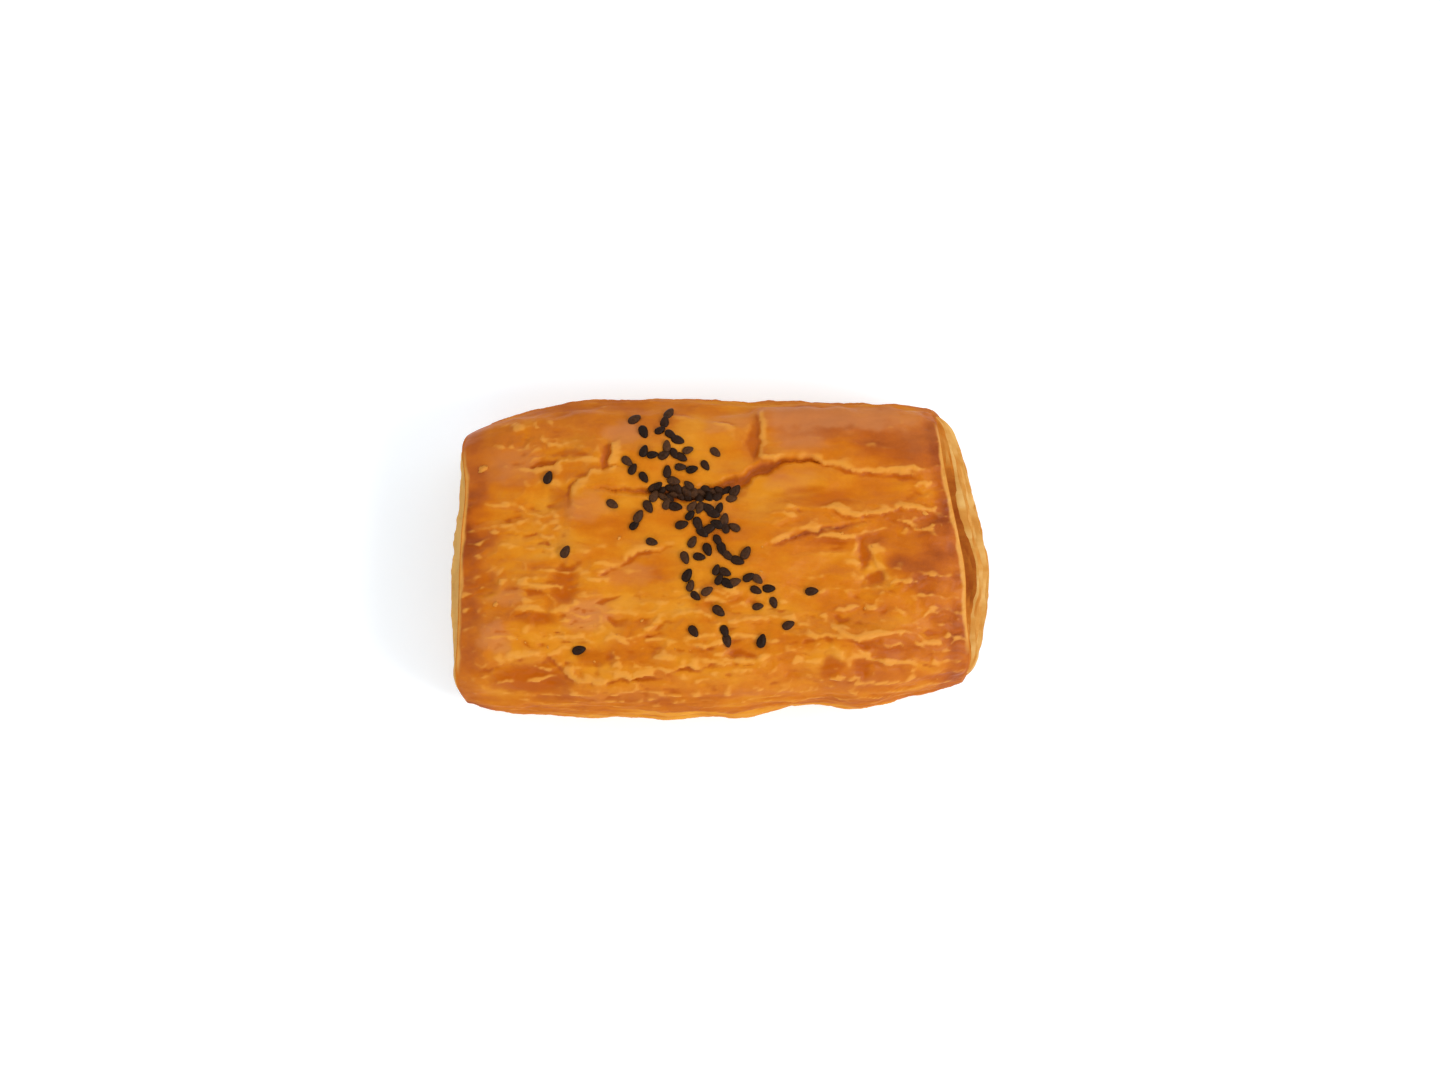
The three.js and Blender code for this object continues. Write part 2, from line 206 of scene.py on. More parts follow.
# Smaller flakes, drawn at random over the flaky parts
SMALL_FLAKES = 200
FLAKE_AREA = ((-54, -60), (52, 60))
FLAKE_TURN = 0.2  # how far they turn from the dough's length, in radians
FLAKE_BACK = 0.3  # share of them that is free at the back
FLAKE_LENGTH = (5, 20)
FLAKE_STEP = (0.15, 0.42)
FLAKE_REACH = (1.2, 3.5)
FLAKE_POINTS = 4
FLAKE_BEND = 0.1  # how far the points of an edge stray, as a share of its length
FLAKE_GROOVE = 0.35

# The folds, by how far out they lie on a sheet laid over the dough
FOLD_FROM = (34, 42)  # where they begin and are full
FOLD_IN = 0.5  # how far their skin lies in
FOLD_PLAIN = 0.35  # how much less its colour follows its relief
RIPPLES = [(40, 9, 0.6), (18, 4, 0.36), (8, 2, 0.22), (5, 0.9, 0.12)]  # (length, width, height)
RIPPLE_TOP = 0.6  # where a ripple is cut off flat, as a share of its height
GLAZED = (38, 27)  # where the gloss has gone, and where it is full
SHOULDER_DROP = 4.0  # how far below the crown the folds begin

# Small plates of the crumpled skin: (length, width, step between them, slope of each, ridge round each)
PLATES = [(14, 4.6, 0.2, 0.04, 0.2), (7, 2.4, 0.14, 0.05, 0.18), (3.2, 1.4, 0.06, 0.05, 0.1)]
PLATES_LEAST = 0.15  # their strength outside the flaky parts
PLATE_EDGE = 0.8
PLATE_TONE = 0.6  # how much their browning differs, by their steps
RIDGE_WIDTH = 0.5
BENT = (1.6, 1.1, 7, 7, 3)

# Small blisters: (length, width, height)
SPECKS = [(3.4, 1.8, 0.3), (1.8, 1.2, 0.16)]
SPECK_FLOOR = 0.1

# The crust's grid
CELLS = (280, 170, 56)
FOOT_TUCK = 0.25  # how far in from the folds the base begins, as a share of the half width
TUCK_POWER = 4
OUTLINE_STEPS = (401, 65)  # places along and up at which the outline is measured
SHARP_ANGLE = 55

# The relief's own grid, and how the crust's colour follows the relief
RELIEF_STEP = 0.35
RELIEF_HALF = (66, 78)
RELIEF_OCTAVES = 2  # of its blisters and ripples
RELIEF_LAST = 1.001  # how many steps before the end of its grid reading stops
SKIN_END = 0.975  # where the relief is full near the cut ends, as a share of the half length
SKIN_FOOT = -0.8  # and near the base, as a share of the half height
DIP_DEPTH = 0.4
PILLOWS = (0.6, 14, 9, 2)
RAISED_OVER = 1.4  # how far round a place its height is compared with
RAISED_STEP = 0.2  # what counts as one step up from there
PALE_STEPS = (-0.1, 1.3)  # steps up, from where the skin turns pale to where it is so
RECESS_SHADE_STEPS = (0.1, 1.8)  # steps down, from where the painted shade of low places begins to where it is full

# Patches of the skin, as of a sheet laid over the dough: (x, y, half length, half width, strength)
FLAKY = [
    (0, -24.8, 65, 11, 1.0), (-40, -8.5, 16, 14, 0.9), (38, -10.6, 20, 14, 0.8), (28, 4.7, 20, 5, 0.6),
    (46, 10.8, 6, 8, 1.0), (-40, 25.1, 10, 5, 0.8), (-46, 5.8, 8, 6, 0.6), (4, -12.6, 16, 8, 0.5),
    (-14, -12.6, 18, 8, 0.5), (0, -46, 80, 16, 0.7), (0, 46, 80, 16, 0.65), (-42, 3, 14, 9, 0.5),
    (-36, 19, 16, 8, 0.45), (28, 25, 20, 6, 0.25), (42, -1, 7, 4.5, -0.8),
]
BROWNED = [
    (42, 22.7, 14, 6, 0.3), (22, 27.1, 16, 7, 0.26), (-54, 6, 4, 9, 0.45), (-54, -12, 3, 9, 0.1),
    (-48, 22.1, 8, 7, 0.25), (-30, 33, 30, 4, 0.2), (46, -2, 6, 7, 0.4), (48, -22, 5, 6, 0.3),
    (49, 8, 4, 5, 0.35), (40, 6, 9, 5, 0.2), (49, -12, 4, 5, 0.2), (0, -34, 60, 3, 0.17),
    (-50, -18, 4, 4, 0.2), (30, 31, 14, 3, 0.12), (-2, 20, 12, 7, -0.1), (-20, -15, 14, 5, -0.2),
    (-43, 5, 9, 6, -0.15), (36, -3.6, 2.4, 3.6, -0.25), (34, -18, 14, 7, 0.14), (34, -24, 10, 5, 0.06),
]
# Hollows, sunk into the relief and painted in deep shade
SHADED_HOLLOWS = [
    (-41.5, -28.3, 8, 3.6, 1.0), (23.9, -25.4, 2.2, 2.4, 0.9), (30.9, -25.8, 2.2, 2.2, 0.9),
    (-34, -7.5, 3, 3.6, 0.8), (-40, -15.2, 5, 1.6, 0.7), (-27, -23.4, 4, 2.2, 0.7),
    (-35, 10.7, 2.6, 3, 0.6), (20, 11.3, 9, 2.4, 0.6), (30.8, -1.5, 1.5, 3, 0.9),
    (33.6, -6.8, 2.4, 1.5, 0.9), (-25.3, 20, 0.9, 2.4, 0.8), (-34, 20.9, 5, 0.8, 0.6),
    (7.2, 23.8, 1.4, 4.8, 0.8), (18, -27.6, 4, 2, 0.5), (-51, -8.3, 2.6, 3, 0.6), (-24, 4.7, 8, 2, 0.4),
    (47, -28.9, 4, 1.4, 0.6), (4.5, 12.9, 2, 2, 0.6),
]
# Painted sheen: pale pinkish patches where the glaze would reflect the studio's light
PAINTED_SHEEN = [
    (-48.6, -19.2, 4, 4, 0.9), (-28.8, -14.4, 5, 4, 0.9), (-46.5, -10, 4, 2.4, 0.7),
    (-20, -5.5, 7, 3, 0.6), (-21, 25.1, 5, 3, 0.8), (-29, 8.8, 6, 3, 0.7), (-45, 19, 7, 4, 0.7),
    (15, 14.5, 6, 3, 0.6), (25, 29.7, 18, 3.4, 1.1), (43, 25, 5, 5, 0.4), (0.4, 28, 5, 2, 0.6),
    (38, -14.6, 8, 3, 0.35), (8, -32, 12, 1.6, 0.4), (-24, -33, 16, 2, 0.4), (30, -29.9, 5, 1.6, 0.4),
    (16, 22.1, 6, 3, 0.5), (19, 26, 9, 4, 0.4),
]
FIRM_EDGE = (1.5, 0.5)  # where a firm patch ends and where it is full, as shares of its half size
PAINTED_SHEEN_STRAY = (2, 1.4, 6, 4, 4)
BROWN_STRAY = (4, 2.5, 12, 8, 3)

# How brown the skin is, from 0 to 1
BROWN_MEAN = 0.42
BROWN_CLOUDS = (0.12, 14, 8, 3)
EDGE_TONE = 0.22  # how much browner it is at the cut ends
EDGE_FROM = (0.86, 0.94)  # where that begins and is full, as shares of the half length
FOLD_TONE = 0.2  # how much browner the folds are
FOLD_STREAKS = (0.14, 24, 2.2, 3)
WASH_LINE = 47  # how far out the egg wash ends
WASH_STRAY = (7, 28, 7, 4)
WASH_EDGE = (-2.5, 3.5)
WASH_TONE = 0.45  # how much paler the skin is below it

# Seeds, with their places and sizes as in the solid
SEED_SIZE = (2.9, 1.85, 1.2)  # length, width, thickness
SEED_TAPER = 0.22
SEED_UNEVENNESS = 0.12
SEED_LIFT = 0.25
SEED_DRAW = 20
SEED_FLATNESS = 1.5  # how much a seed keeps to lying level, against the slope under it
SEED_CELLS = (14, 10)
SEED_SHADES = (0.1, 0.9)
SHADE_DRAW = 5
HEAP_TRIES = 300
HEAPS = [
    ((-14.5, 12.4), (3, 12), 0.7, 1.35, 26),
    ((-6.6, 9.8), (-1, 8.4), 0.8, 1.6, 7),
    ((-2.4, 7.4), (2.2, 4), 0.4, 1.6, 4),
]  # (from, to, stray, spacing, count)
SINGLE_SEEDS = [
    (-18.9, 28.6, 30), (-11.4, 30, 55), (-12.3, 28, 80), (-13.3, 26, 30), (-16.9, 25.6, -70),
    (-11, 25, -35), (-9.4, 23.8, -20), (-16.8, 21.2, 70), (-14.9, 20.4, 10), (-11.8, 22.4, 90),
    (-12.4, 20.4, 30), (-10.2, 20.8, -60), (-8.6, 20, -30), (-7.2, 21.6, 20), (-1.2, 21.2, -40),
    (-20.4, 19, -40), (-19.2, 17.3, 60), (-11.7, 16.8, 85), (-8.8, 17.8, 0), (-6.3, 17.3, 15),
    (-3.4, 18.2, -55), (-16.8, 15.5, -55), (-10.3, 14.8, -10), (-13.8, 13.7, 40), (-15.8, 9, -60),
    (-11.8, 9.6, 70), (-9.9, 9, -10), (-23.6, 9.6, -30), (-17.9, 6.9, 60), (-18.8, 5, 40), (-15, 1.3, -15),
    (-6.7, 7, 45), (-8.5, 5, 15), (-5, 5.2, -70), (-4, 3.4, -40), (-2.4, 4.2, 30), (-6.2, 1.3, 60),
    (-0.7, 1.6, -60), (0.2, -0.3, -70), (1.5, -1.8, -45), (3.6, -2.9, -20), (5.4, -1.2, 60),
    (-2.9, -0.4, -70), (-4.7, -2, -10), (-7.8, -2.2, -70), (-1, -4.9, 70), (0.9, -5.4, -25),
    (-0.4, -7, 60), (1.4, -7.9, -35), (3, -7.6, 20), (-7.3, -6, 60), (-6.6, -8.3, 70), (-5.5, -10.5, -40),
    (-3, -9.5, 30), (6, -6.5, 30), (7.9, -6.9, -40), (7.6, -9.3, -25), (10.4, -8.9, 0), (8, -12.8, 10),
    (11.4, -11.9, -70), (-0.5, -13.8, -40), (-5.9, -18.2, -55), (0.8, -18.2, -70), (1.3, -20.2, -75),
    (8.8, -20.2, 75), (14.6, -16.8, 25), (19.7, -9.4, 5), (-37.7, 15.7, 70), (-33.8, -0.7, 60),
    (-30.8, -22, 15),
]  # (x, y, turn in degrees)

# Crumbs on the crust
CRUMBS = 20
CRUMB_AREA = ((-50, -30), (48, 8))
CRUMB_SIZE = (0.4, 1.0)
CRUMB_FORM = (1, 0.7, 0.35)  # length, width and thickness, as shares of the size
CRUMB_UNEVENNESS = (0.7, 1.3)
CRUMB_CELLS = (8, 6)
PLACED_CRUMBS = [(-52.2, 18, 2.3), (-49, -12, 1.4), (44.6, 8, 1.5)]  # (x, y, size)

# Colours as they look in the studio's light, in display values, by their place on a scale from 0 to 1
CRUST_COLOURS = [
    (0, (238, 162, 50)), (0.3, (223, 138, 26)), (0.5, (211, 117, 14)), (0.75, (187, 93, 18)),
    (1, (152, 67, 14)),
]
DOUGH_COLOURS = [(0, (172, 84, 18)), (0.4, (216, 130, 38)), (0.75, (234, 168, 78)), (1, (255, 208, 124))]
SEED_COLOURS = [(0, (28, 15, 7)), (0.6, (54, 31, 16)), (1, (88, 55, 30))]
SHADE = 0.77  # a surface's own colour, as a share of how bright it looks in that light

# Noise of the materials: (length of its waves along each axis, detail, distortion)
STREAKY = ((9, 2.4, 6), 5, 0.8)
GRAINY = ((0.9, 0.9, 0.9), 5, 0)
CLOUDY = ((8, 6, 6), 4, 0)
SEED_GRAINY = ((0.5, 0.5, 0.5), 4, 0)

# How much noise varies what the materials read
BROWN_STREAKS = 0.1
BROWN_CLOUDED = 0.26
BROWN_GRAIN = 0.06
DOUGH_STREAKS = 0.2
GLAZE_GRAIN = 0.15
SHADE_GRAIN = 0.35

# Tints over the browned crust: (how much noise varies it, where it begins, where it is full, most, colour)
# painted sheen: a pale pinkish tint in place of the glaze's reflections
PAINTED_SHEEN_TINT = (0.3, 0.1, 1.2, 0.65, (214, 136, 78))
# painted shade: a deep orange-brown over the relief's low places and hollows
RECESS_SHADE_TINT = (0.25, 0.1, 1.0, 0.95, (187, 89, 0))
PALE_TINT = (0.3, 0.15, 1.0, 0.8, (237, 160, 62))

# Gloss and grain of the materials
CRUST_ROUGHNESS = (0.8, 0.41)  # bare and glazed
CRUST_SPECULAR = 0.12
CRUST_BUMP = 0.3
BUMP_STREAKS = 0.5
BUMP_GRAIN = 0.12
SEED_GRAIN = (0.2, 0.8)  # the grain that the seeds' roughness follows
SEED_ROUGHNESS = (0.4, 0.62)
SEED_SPECULAR = 0.1
SEED_BUMP = 0.12

# The studio, in metres
FLOOR_HALF = 1.5
FLOOR_LOOKS = {
    "Base Color": (0.76, 0.79, 0.82, 1),
    "Emission Color": (0.88, 0.95, 1, 1),
    "Emission Strength": 0.34,
    "Roughness": 0.8,
    "Specular IOR Level": 0.0,
}
KEY_PLACE = (0.7, -0.3, 0.78)
KEY_TARGET = (0, 0, 0.02)
KEY_SIZE = 0.4
KEY_POWER = 5
DOME_MIDDLE = (0, -0.17, 0.985)  # the way to the middle of the dome of light
DOME = [(0, 0.35), (0.3, 0.6), (0.42, 2.1), (0.68, 2.1), (0.8, 0.25), (1, 0.05)]  # (nearness, strength)
CAMERA_TARGET = (-0.0002, 0.0045, 0.011)
CAMERA_DISTANCE = 0.75
CAMERA_ELEVATION = 83
VIEW_WIDTH = 0.3224
SENSOR_WIDTH = 36


def random_run(seed):
    """A repeatable run of numbers from 0 to 1, the same as the solid's."""
    state = seed
    while True:
        state = (RUN_FACTOR * state + RUN_ADDS) % RUN_RANGE
        yield state / RUN_RANGE


def named_draws(use):
    """Random draws that depend only on the name of their use."""
    return np.random.default_rng(zlib.crc32(use.encode()))


def smoothstep(low, high, value):
    share = np.clip((value - low) / (high - low), 0, 1)
    return share * share * (3 - 2 * share)


def soft(along, across):
    return np.exp(-along ** 2 - across ** 2)


def firm(along, across):
    return smoothstep(*FIRM_EDGE, np.hypot(along, across))


def patches(x, y, places, fall):
    """Sum of round patches, each falling off from its middle in a given way."""
    total = np.zeros_like(x)
    for middle_x, middle_y, half_length, half_width, strength in places:
        total += strength * fall((x - middle_x) / half_length, (y - middle_y) / half_width)
    return total


def ease(share):
    return share ** 3 * (share * (share * 6 - 15) + 10)


class Noise:
    """Smooth gradient noise in the plane, from about -1 to 1, drawn from the name of its use."""

    SLOPES = 256  # before they repeat
    GAIN = 1.5  # brings the values to about -1 to 1
    SHIFT = (17.3, -9.1)  # from one octave to the next

    def __init__(self, use):
        rng = named_draws(use)
        self.order = rng.permutation(self.SLOPES)
        angles = rng.uniform(0, 2 * math.pi, self.SLOPES)
        self.slopes = np.stack([np.cos(angles), np.sin(angles)], axis=1)

    def corner(self, column, row, across, up):
        slope = self.slopes[self.order[(self.order[column % self.SLOPES] + row) % self.SLOPES]]
        return slope[..., 0] * across + slope[..., 1] * up

    def at(self, x, y):
        column = np.floor(x).astype(int)
        row = np.floor(y).astype(int)
        across = x - column
        up = y - row
        low = self.corner(column, row, across, up)
        low += ease(across) * (self.corner(column + 1, row, across - 1, up) - low)
        high = self.corner(column, row + 1, across, up - 1)
        high += ease(across) * (self.corner(column + 1, row + 1, across - 1, up - 1) - high)
        return self.GAIN * (low + ease(up) * (high - low))

    def rough(self, x, y, octaves):
        """The noise with finer octaves added, each half as long and half as strong as the one before."""
        total = np.zeros_like(x)
        for octave in range(octaves):
            finer = 2 ** octave
            place_x = x * finer + self.SHIFT[0] * octave
            place_y = y * finer + self.SHIFT[1] * octave
            total += self.at(place_x, place_y) / finer
        return total


def unevenness(use, x, y, amount, length, width, octaves):
    """Noise over the plane, with waves of a length along x and a width across it."""
    return amount * Noise(use).rough(x / length, y / width, octaves)


def strayed(use, x, y, along, across, *waves):
    """Places moved by noise, by one amount along x and by another across it."""
    moved_x = x + unevenness(f"{use} x", x, y, along, *waves)
    moved_y = y + unevenness(f"{use} y", x, y, across, *waves)
    return moved_x, moved_y


class Cells:
    """Random cells of the plane: how far places are from the borders, and draws that each cell keeps."""

    REPEAT = 64
    MIDDLES = (0.1, 0.9)  # where a cell's middle may lie
    DRAWS = 4

    def __init__(self, use, x, y, length, width):
        rng = named_draws(use)
        middles = rng.uniform(*self.MIDDLES, (self.REPEAT, self.REPEAT, 2))
        draws = rng.uniform(-1, 1, (self.REPEAT, self.REPEAT, self.DRAWS))
        column = np.floor(x / length).astype(int)
        row = np.floor(y / width).astype(int)
        nearest = np.full(x.shape, FAR)
        second = np.full(x.shape, FAR)
        self.draws = np.zeros(x.shape + (self.DRAWS,))
        self.from_middle = np.zeros(x.shape + (2,))
        for step_x, step_y in itertools.product((-1, 0, 1), repeat=2):
            cell = ((column + step_x) % self.REPEAT, (row + step_y) % self.REPEAT)
            away_x = x / length - column - step_x - middles[cell][..., 0]
            away_y = y / width - row - step_y - middles[cell][..., 1]
            distance = np.hypot(away_x, away_y)
            closer = distance < nearest
            second = np.where(closer, nearest, np.minimum(second, distance))
            nearest = np.where(closer, distance, nearest)
            self.draws[closer] = draws[cell][closer]
            self.from_middle[closer] = np.stack([away_x * length, away_y * width], axis=-1)[closer]
        self.border = (second - nearest) / 2 * min(length, width)


class SmoothLine:
    """A smooth line through points, read by share of its length."""

    DIVISIONS = 200

    def __init__(self, points):
        self.points = np.array(points, float)
        self.steps = np.linspace(0, 1, self.DIVISIONS + 1)
        places = self.curve(self.steps)
        spans = np.linalg.norm(np.diff(places, axis=0), axis=1)
        self.lengths = np.concatenate([[0], np.cumsum(spans)])

    def curve(self, step):
        last = len(self.points) - 1
        place = np.asarray(step) * last
        index = np.minimum(np.floor(place).astype(int), last)
        weight = (place - index)[..., None]
        before, start, end, after = (self.points[np.clip(index + k, 0, last)] for k in (-1, 0, 1, 2))
        leave = (end - before) / 2
        arrive = (after - start) / 2
        cubic = 2 * start - 2 * end + leave + arrive
        square = -3 * start + 3 * end - 2 * leave - arrive
        return ((cubic * weight + square) * weight + leave) * weight + start

    def at(self, share):
        return self.curve(np.interp(np.asarray(share) * self.lengths[-1], self.lengths, self.steps))


front = SmoothLine(FRONT_EDGE)
back = SmoothLine(BACK_EDGE)
left = SmoothLine(LEFT_END)
right = SmoothLine(RIGHT_END)


def between(one, other, share):
    return one + (other - one) * share[..., None]


def plan_point(u, v):
    """A point of the curved patch that the outline's edges span."""
    along_edges = between(front.at(u), back.at(u), v)
    across_ends = between(left.at(v), right.at(v), u)
    front_chord = between(front.at(0), front.at(1), u)
    back_chord = between(back.at(0), back.at(1), u)
    return along_edges + across_ends - between(front_chord, back_chord, v)


def crown_height(u, v):
    swell = sum(
        height * np.sin(2 * math.pi * (along_x * u + along_y * v) + phase)
        for height, along_x, along_y, phase in SWELLS
    )
    return HEIGHT - END_DROP * np.abs(2 * u - 1) ** END_DROP_POWER + swell


def from_bulge(up):
    share = (up + 1) / 2
    bulge = BULGE_HEIGHT / HEIGHT
    return np.where(share > bulge, (share - bulge) / (1 - bulge), share / bulge - 1)


def tucked_under(b, c):
    """The block's section with its lower corners slid along under the base."""
    tucked = b * (1 - FOOT_TUCK * np.maximum(0, -c) ** TUCK_POWER)
    before = np.maximum(np.abs(b), np.abs(c))
    after = np.maximum(np.abs(tucked), np.abs(c))
    reach = before / np.maximum(after, TINY)
    return tucked * reach, c * reach


def rounded(across, up, exponent):
    """Points of a square from -1 to 1, moved to the square with rounded corners."""
    drawn_in = 1 - 2 ** (-1 / exponent)
    narrowed = across * (1 - drawn_in * np.abs(up) ** exponent)
    lowered = up * (1 - drawn_in * np.abs(across) ** exponent)
    return narrowed, lowered


def dough_form(a, b, up):
    """Places on the dough for points of a block from -1 to 1, with how far each lies below the crown."""
    b, c = tucked_under(b, from_bulge(up))
    side, rise = rounded(b, c, np.where(c > 0, SHOULDER_EXPONENT, FOOT_EXPONENT))
    plan_a, plan_b = rounded(a, side, CORNER_EXPONENT)
    u = (plan_a + 1) / 2
    v = (plan_b + 1) / 2
    plan = plan_point(u, v)
    above = BULGE_HEIGHT + (crown_height(u, v) - BULGE_HEIGHT) * rise
    below = np.maximum(0, BULGE_HEIGHT * (1 + FOOT_PRESS * rise))
    height = np.where(rise > 0, above, below)
    top_lean = np.where(a > 0, RIGHT_LEAN, LEFT_LEAN) * np.maximum(rise, 0) ** LEAN_CURVE
    loss = np.where((a > 0) & (side > 0), BACK_LEAN_LOSS, LEAN_LOSS)
    lean = np.where(rise > 0, top_lean * (1 - loss * side ** 2), FOOT_LEAN * rise ** 2)
    x = plan[:, 0] - np.sign(a) * lean * np.abs(a) ** LEAN_SPREAD
    return np.stack([x, plan[:, 1], height], axis=1), crown_height(u, v) - height


def plan_middle():
    """The middle of the dough's outline as its edges are given."""
    along, up = (np.linspace(-1, 1, count) for count in OUTLINE_STEPS)
    ends = itertools.product((-1, 1), along, up)
    folds = itertools.product(along, (-1, 1), up)
    outline = dough_form(*np.array([*ends, *folds]).T)[0][:, :2]
    return (outline.min(axis=0) + outline.max(axis=0)) / 2


middle_of_plan = plan_middle()


def recentred(points):
    """The dough's points moved so that its outline's middle is at the origin."""
    moved = points.copy()
    moved[:, :2] -= middle_of_plan
    return moved


def layer_fall(across, up):
    """How far the cut ends fall back under the lips of their layers, and each point's share of that."""
    layer = LAYERS * (1 - up) / 2
    wave = np.sin(LAYER_WAVES * across + LAYER_SHIFT * np.floor(layer))
    depth = LAYER_DEPTH * (1 - LAYER_UNEVENNESS * (1 - wave)) * (1 - across ** LAYER_FADE)
    down = layer - np.floor(layer)
    gap = np.minimum(down / UNDERCUT, (1 - down) / (1 - UNDERCUT))
    return depth * gap, gap


def on_fold(over):
    """How far a place of the sheet laid over the dough is on a fold, from 0 to 1."""
    return smoothstep(*FOLD_FROM, np.abs(over))


def torn_outline(corners, random):
    points = []
    for (x, y), (next_x, next_y) in zip(corners, corners[1:] + corners[:1]):
        steps = math.ceil(math.hypot(next_x - x, next_y - y) / TEAR_STEP)
        for k in range(steps):
            place_x = x + (next_x - x) * k / steps + TEAR_JAG * (2 * next(random) - 1)
            place_y = y + (next_y - y) * k / steps + TEAR_JAG * (2 * next(random) - 1)
            points.append((place_x, place_y))
    return np.array(points)


def inside_distance(x, y, outline):
    """Distance to an outline, positive inside it."""
    nearest = np.full(x.shape, FAR)
    inside = np.zeros(x.shape, bool)
    for (x0, y0), (x1, y1) in zip(outline, np.roll(outline, -1, axis=0)):
        run_x, run_y = x1 - x0, y1 - y0
        share = np.clip(((x - x0) * run_x + (y - y0) * run_y) / (run_x ** 2 + run_y ** 2), 0, 1)
        nearest = np.minimum(nearest, np.hypot(x - x0 - share * run_x, y - y0 - share * run_y))
        crosses = (y0 > y) != (y1 > y)
        height = np.where(crosses, (y - y0) / (run_y if run_y else TINY), 0)
        inside ^= crosses & (x < x0 + height * run_x)
    return np.where(inside, nearest, -nearest)


def crack_distance(x, y, line, width, samples=80):
    """Distance to a crack's lip, positive inside the crack."""
    shares = np.linspace(0, 1, samples)
    nearest = np.full(x.shape, -FAR)
    for share, (place_x, place_y) in zip(shares, SmoothLine(line).at(shares)):
        half = width / 2 * math.sin(math.pi * share)
        nearest = np.maximum(nearest, half - np.hypot(x - place_x, y - place_y))
    return nearest


def line_distance(x, y, line, samples=60):
    """Distance to a line, positive on its left, with the share of its length at the nearest point."""
    shares = np.linspace(0, 1, samples)
    places = SmoothLine(line).at(shares)
    runs = np.gradient(places, axis=0)
    nearest = np.full(x.shape, FAR)
    signed = np.full(x.shape, -FAR)
    along = np.zeros_like(x)
    for share, (place_x, place_y), (run_x, run_y) in zip(shares, places, runs):
        distance = np.hypot(x - place_x, y - place_y)
        closer = distance < nearest
        on_left = run_x * (y - place_y) - run_y * (x - place_x) > 0
        signed = np.where(closer, np.where(on_left, distance, -distance), signed)
        along = np.where(closer, share, along)
        nearest = np.minimum(nearest, distance)
    return signed, along


def blurred(field, radius):
    """A field of the relief's grid, softened."""
    along = np.fft.fftfreq(field.shape[0], RELIEF_STEP)[:, None]
    across = np.fft.rfftfreq(field.shape[1], RELIEF_STEP)
    fall = np.exp(-2 * (math.pi * radius) ** 2 * (along ** 2 + across ** 2))
    return np.fft.irfft2(np.fft.rfft2(field) * fall, field.shape)


def read_field(field, x, y):
    """Values of a field of the relief's grid at places, straight between those of the grid."""
    column = np.clip((x + RELIEF_HALF[0]) / RELIEF_STEP, 0, field.shape[0] - RELIEF_LAST)
    row = np.clip((y + RELIEF_HALF[1]) / RELIEF_STEP, 0, field.shape[1] - RELIEF_LAST)
    i = column.astype(int)
    j = row.astype(int)
    across = row - j
    near = field[i, j] * (1 - across) + field[i, j + 1] * across
    far = field[i + 1, j] * (1 - across) + field[i + 1, j + 1] * across
    return near + (far - near) * (column - i)


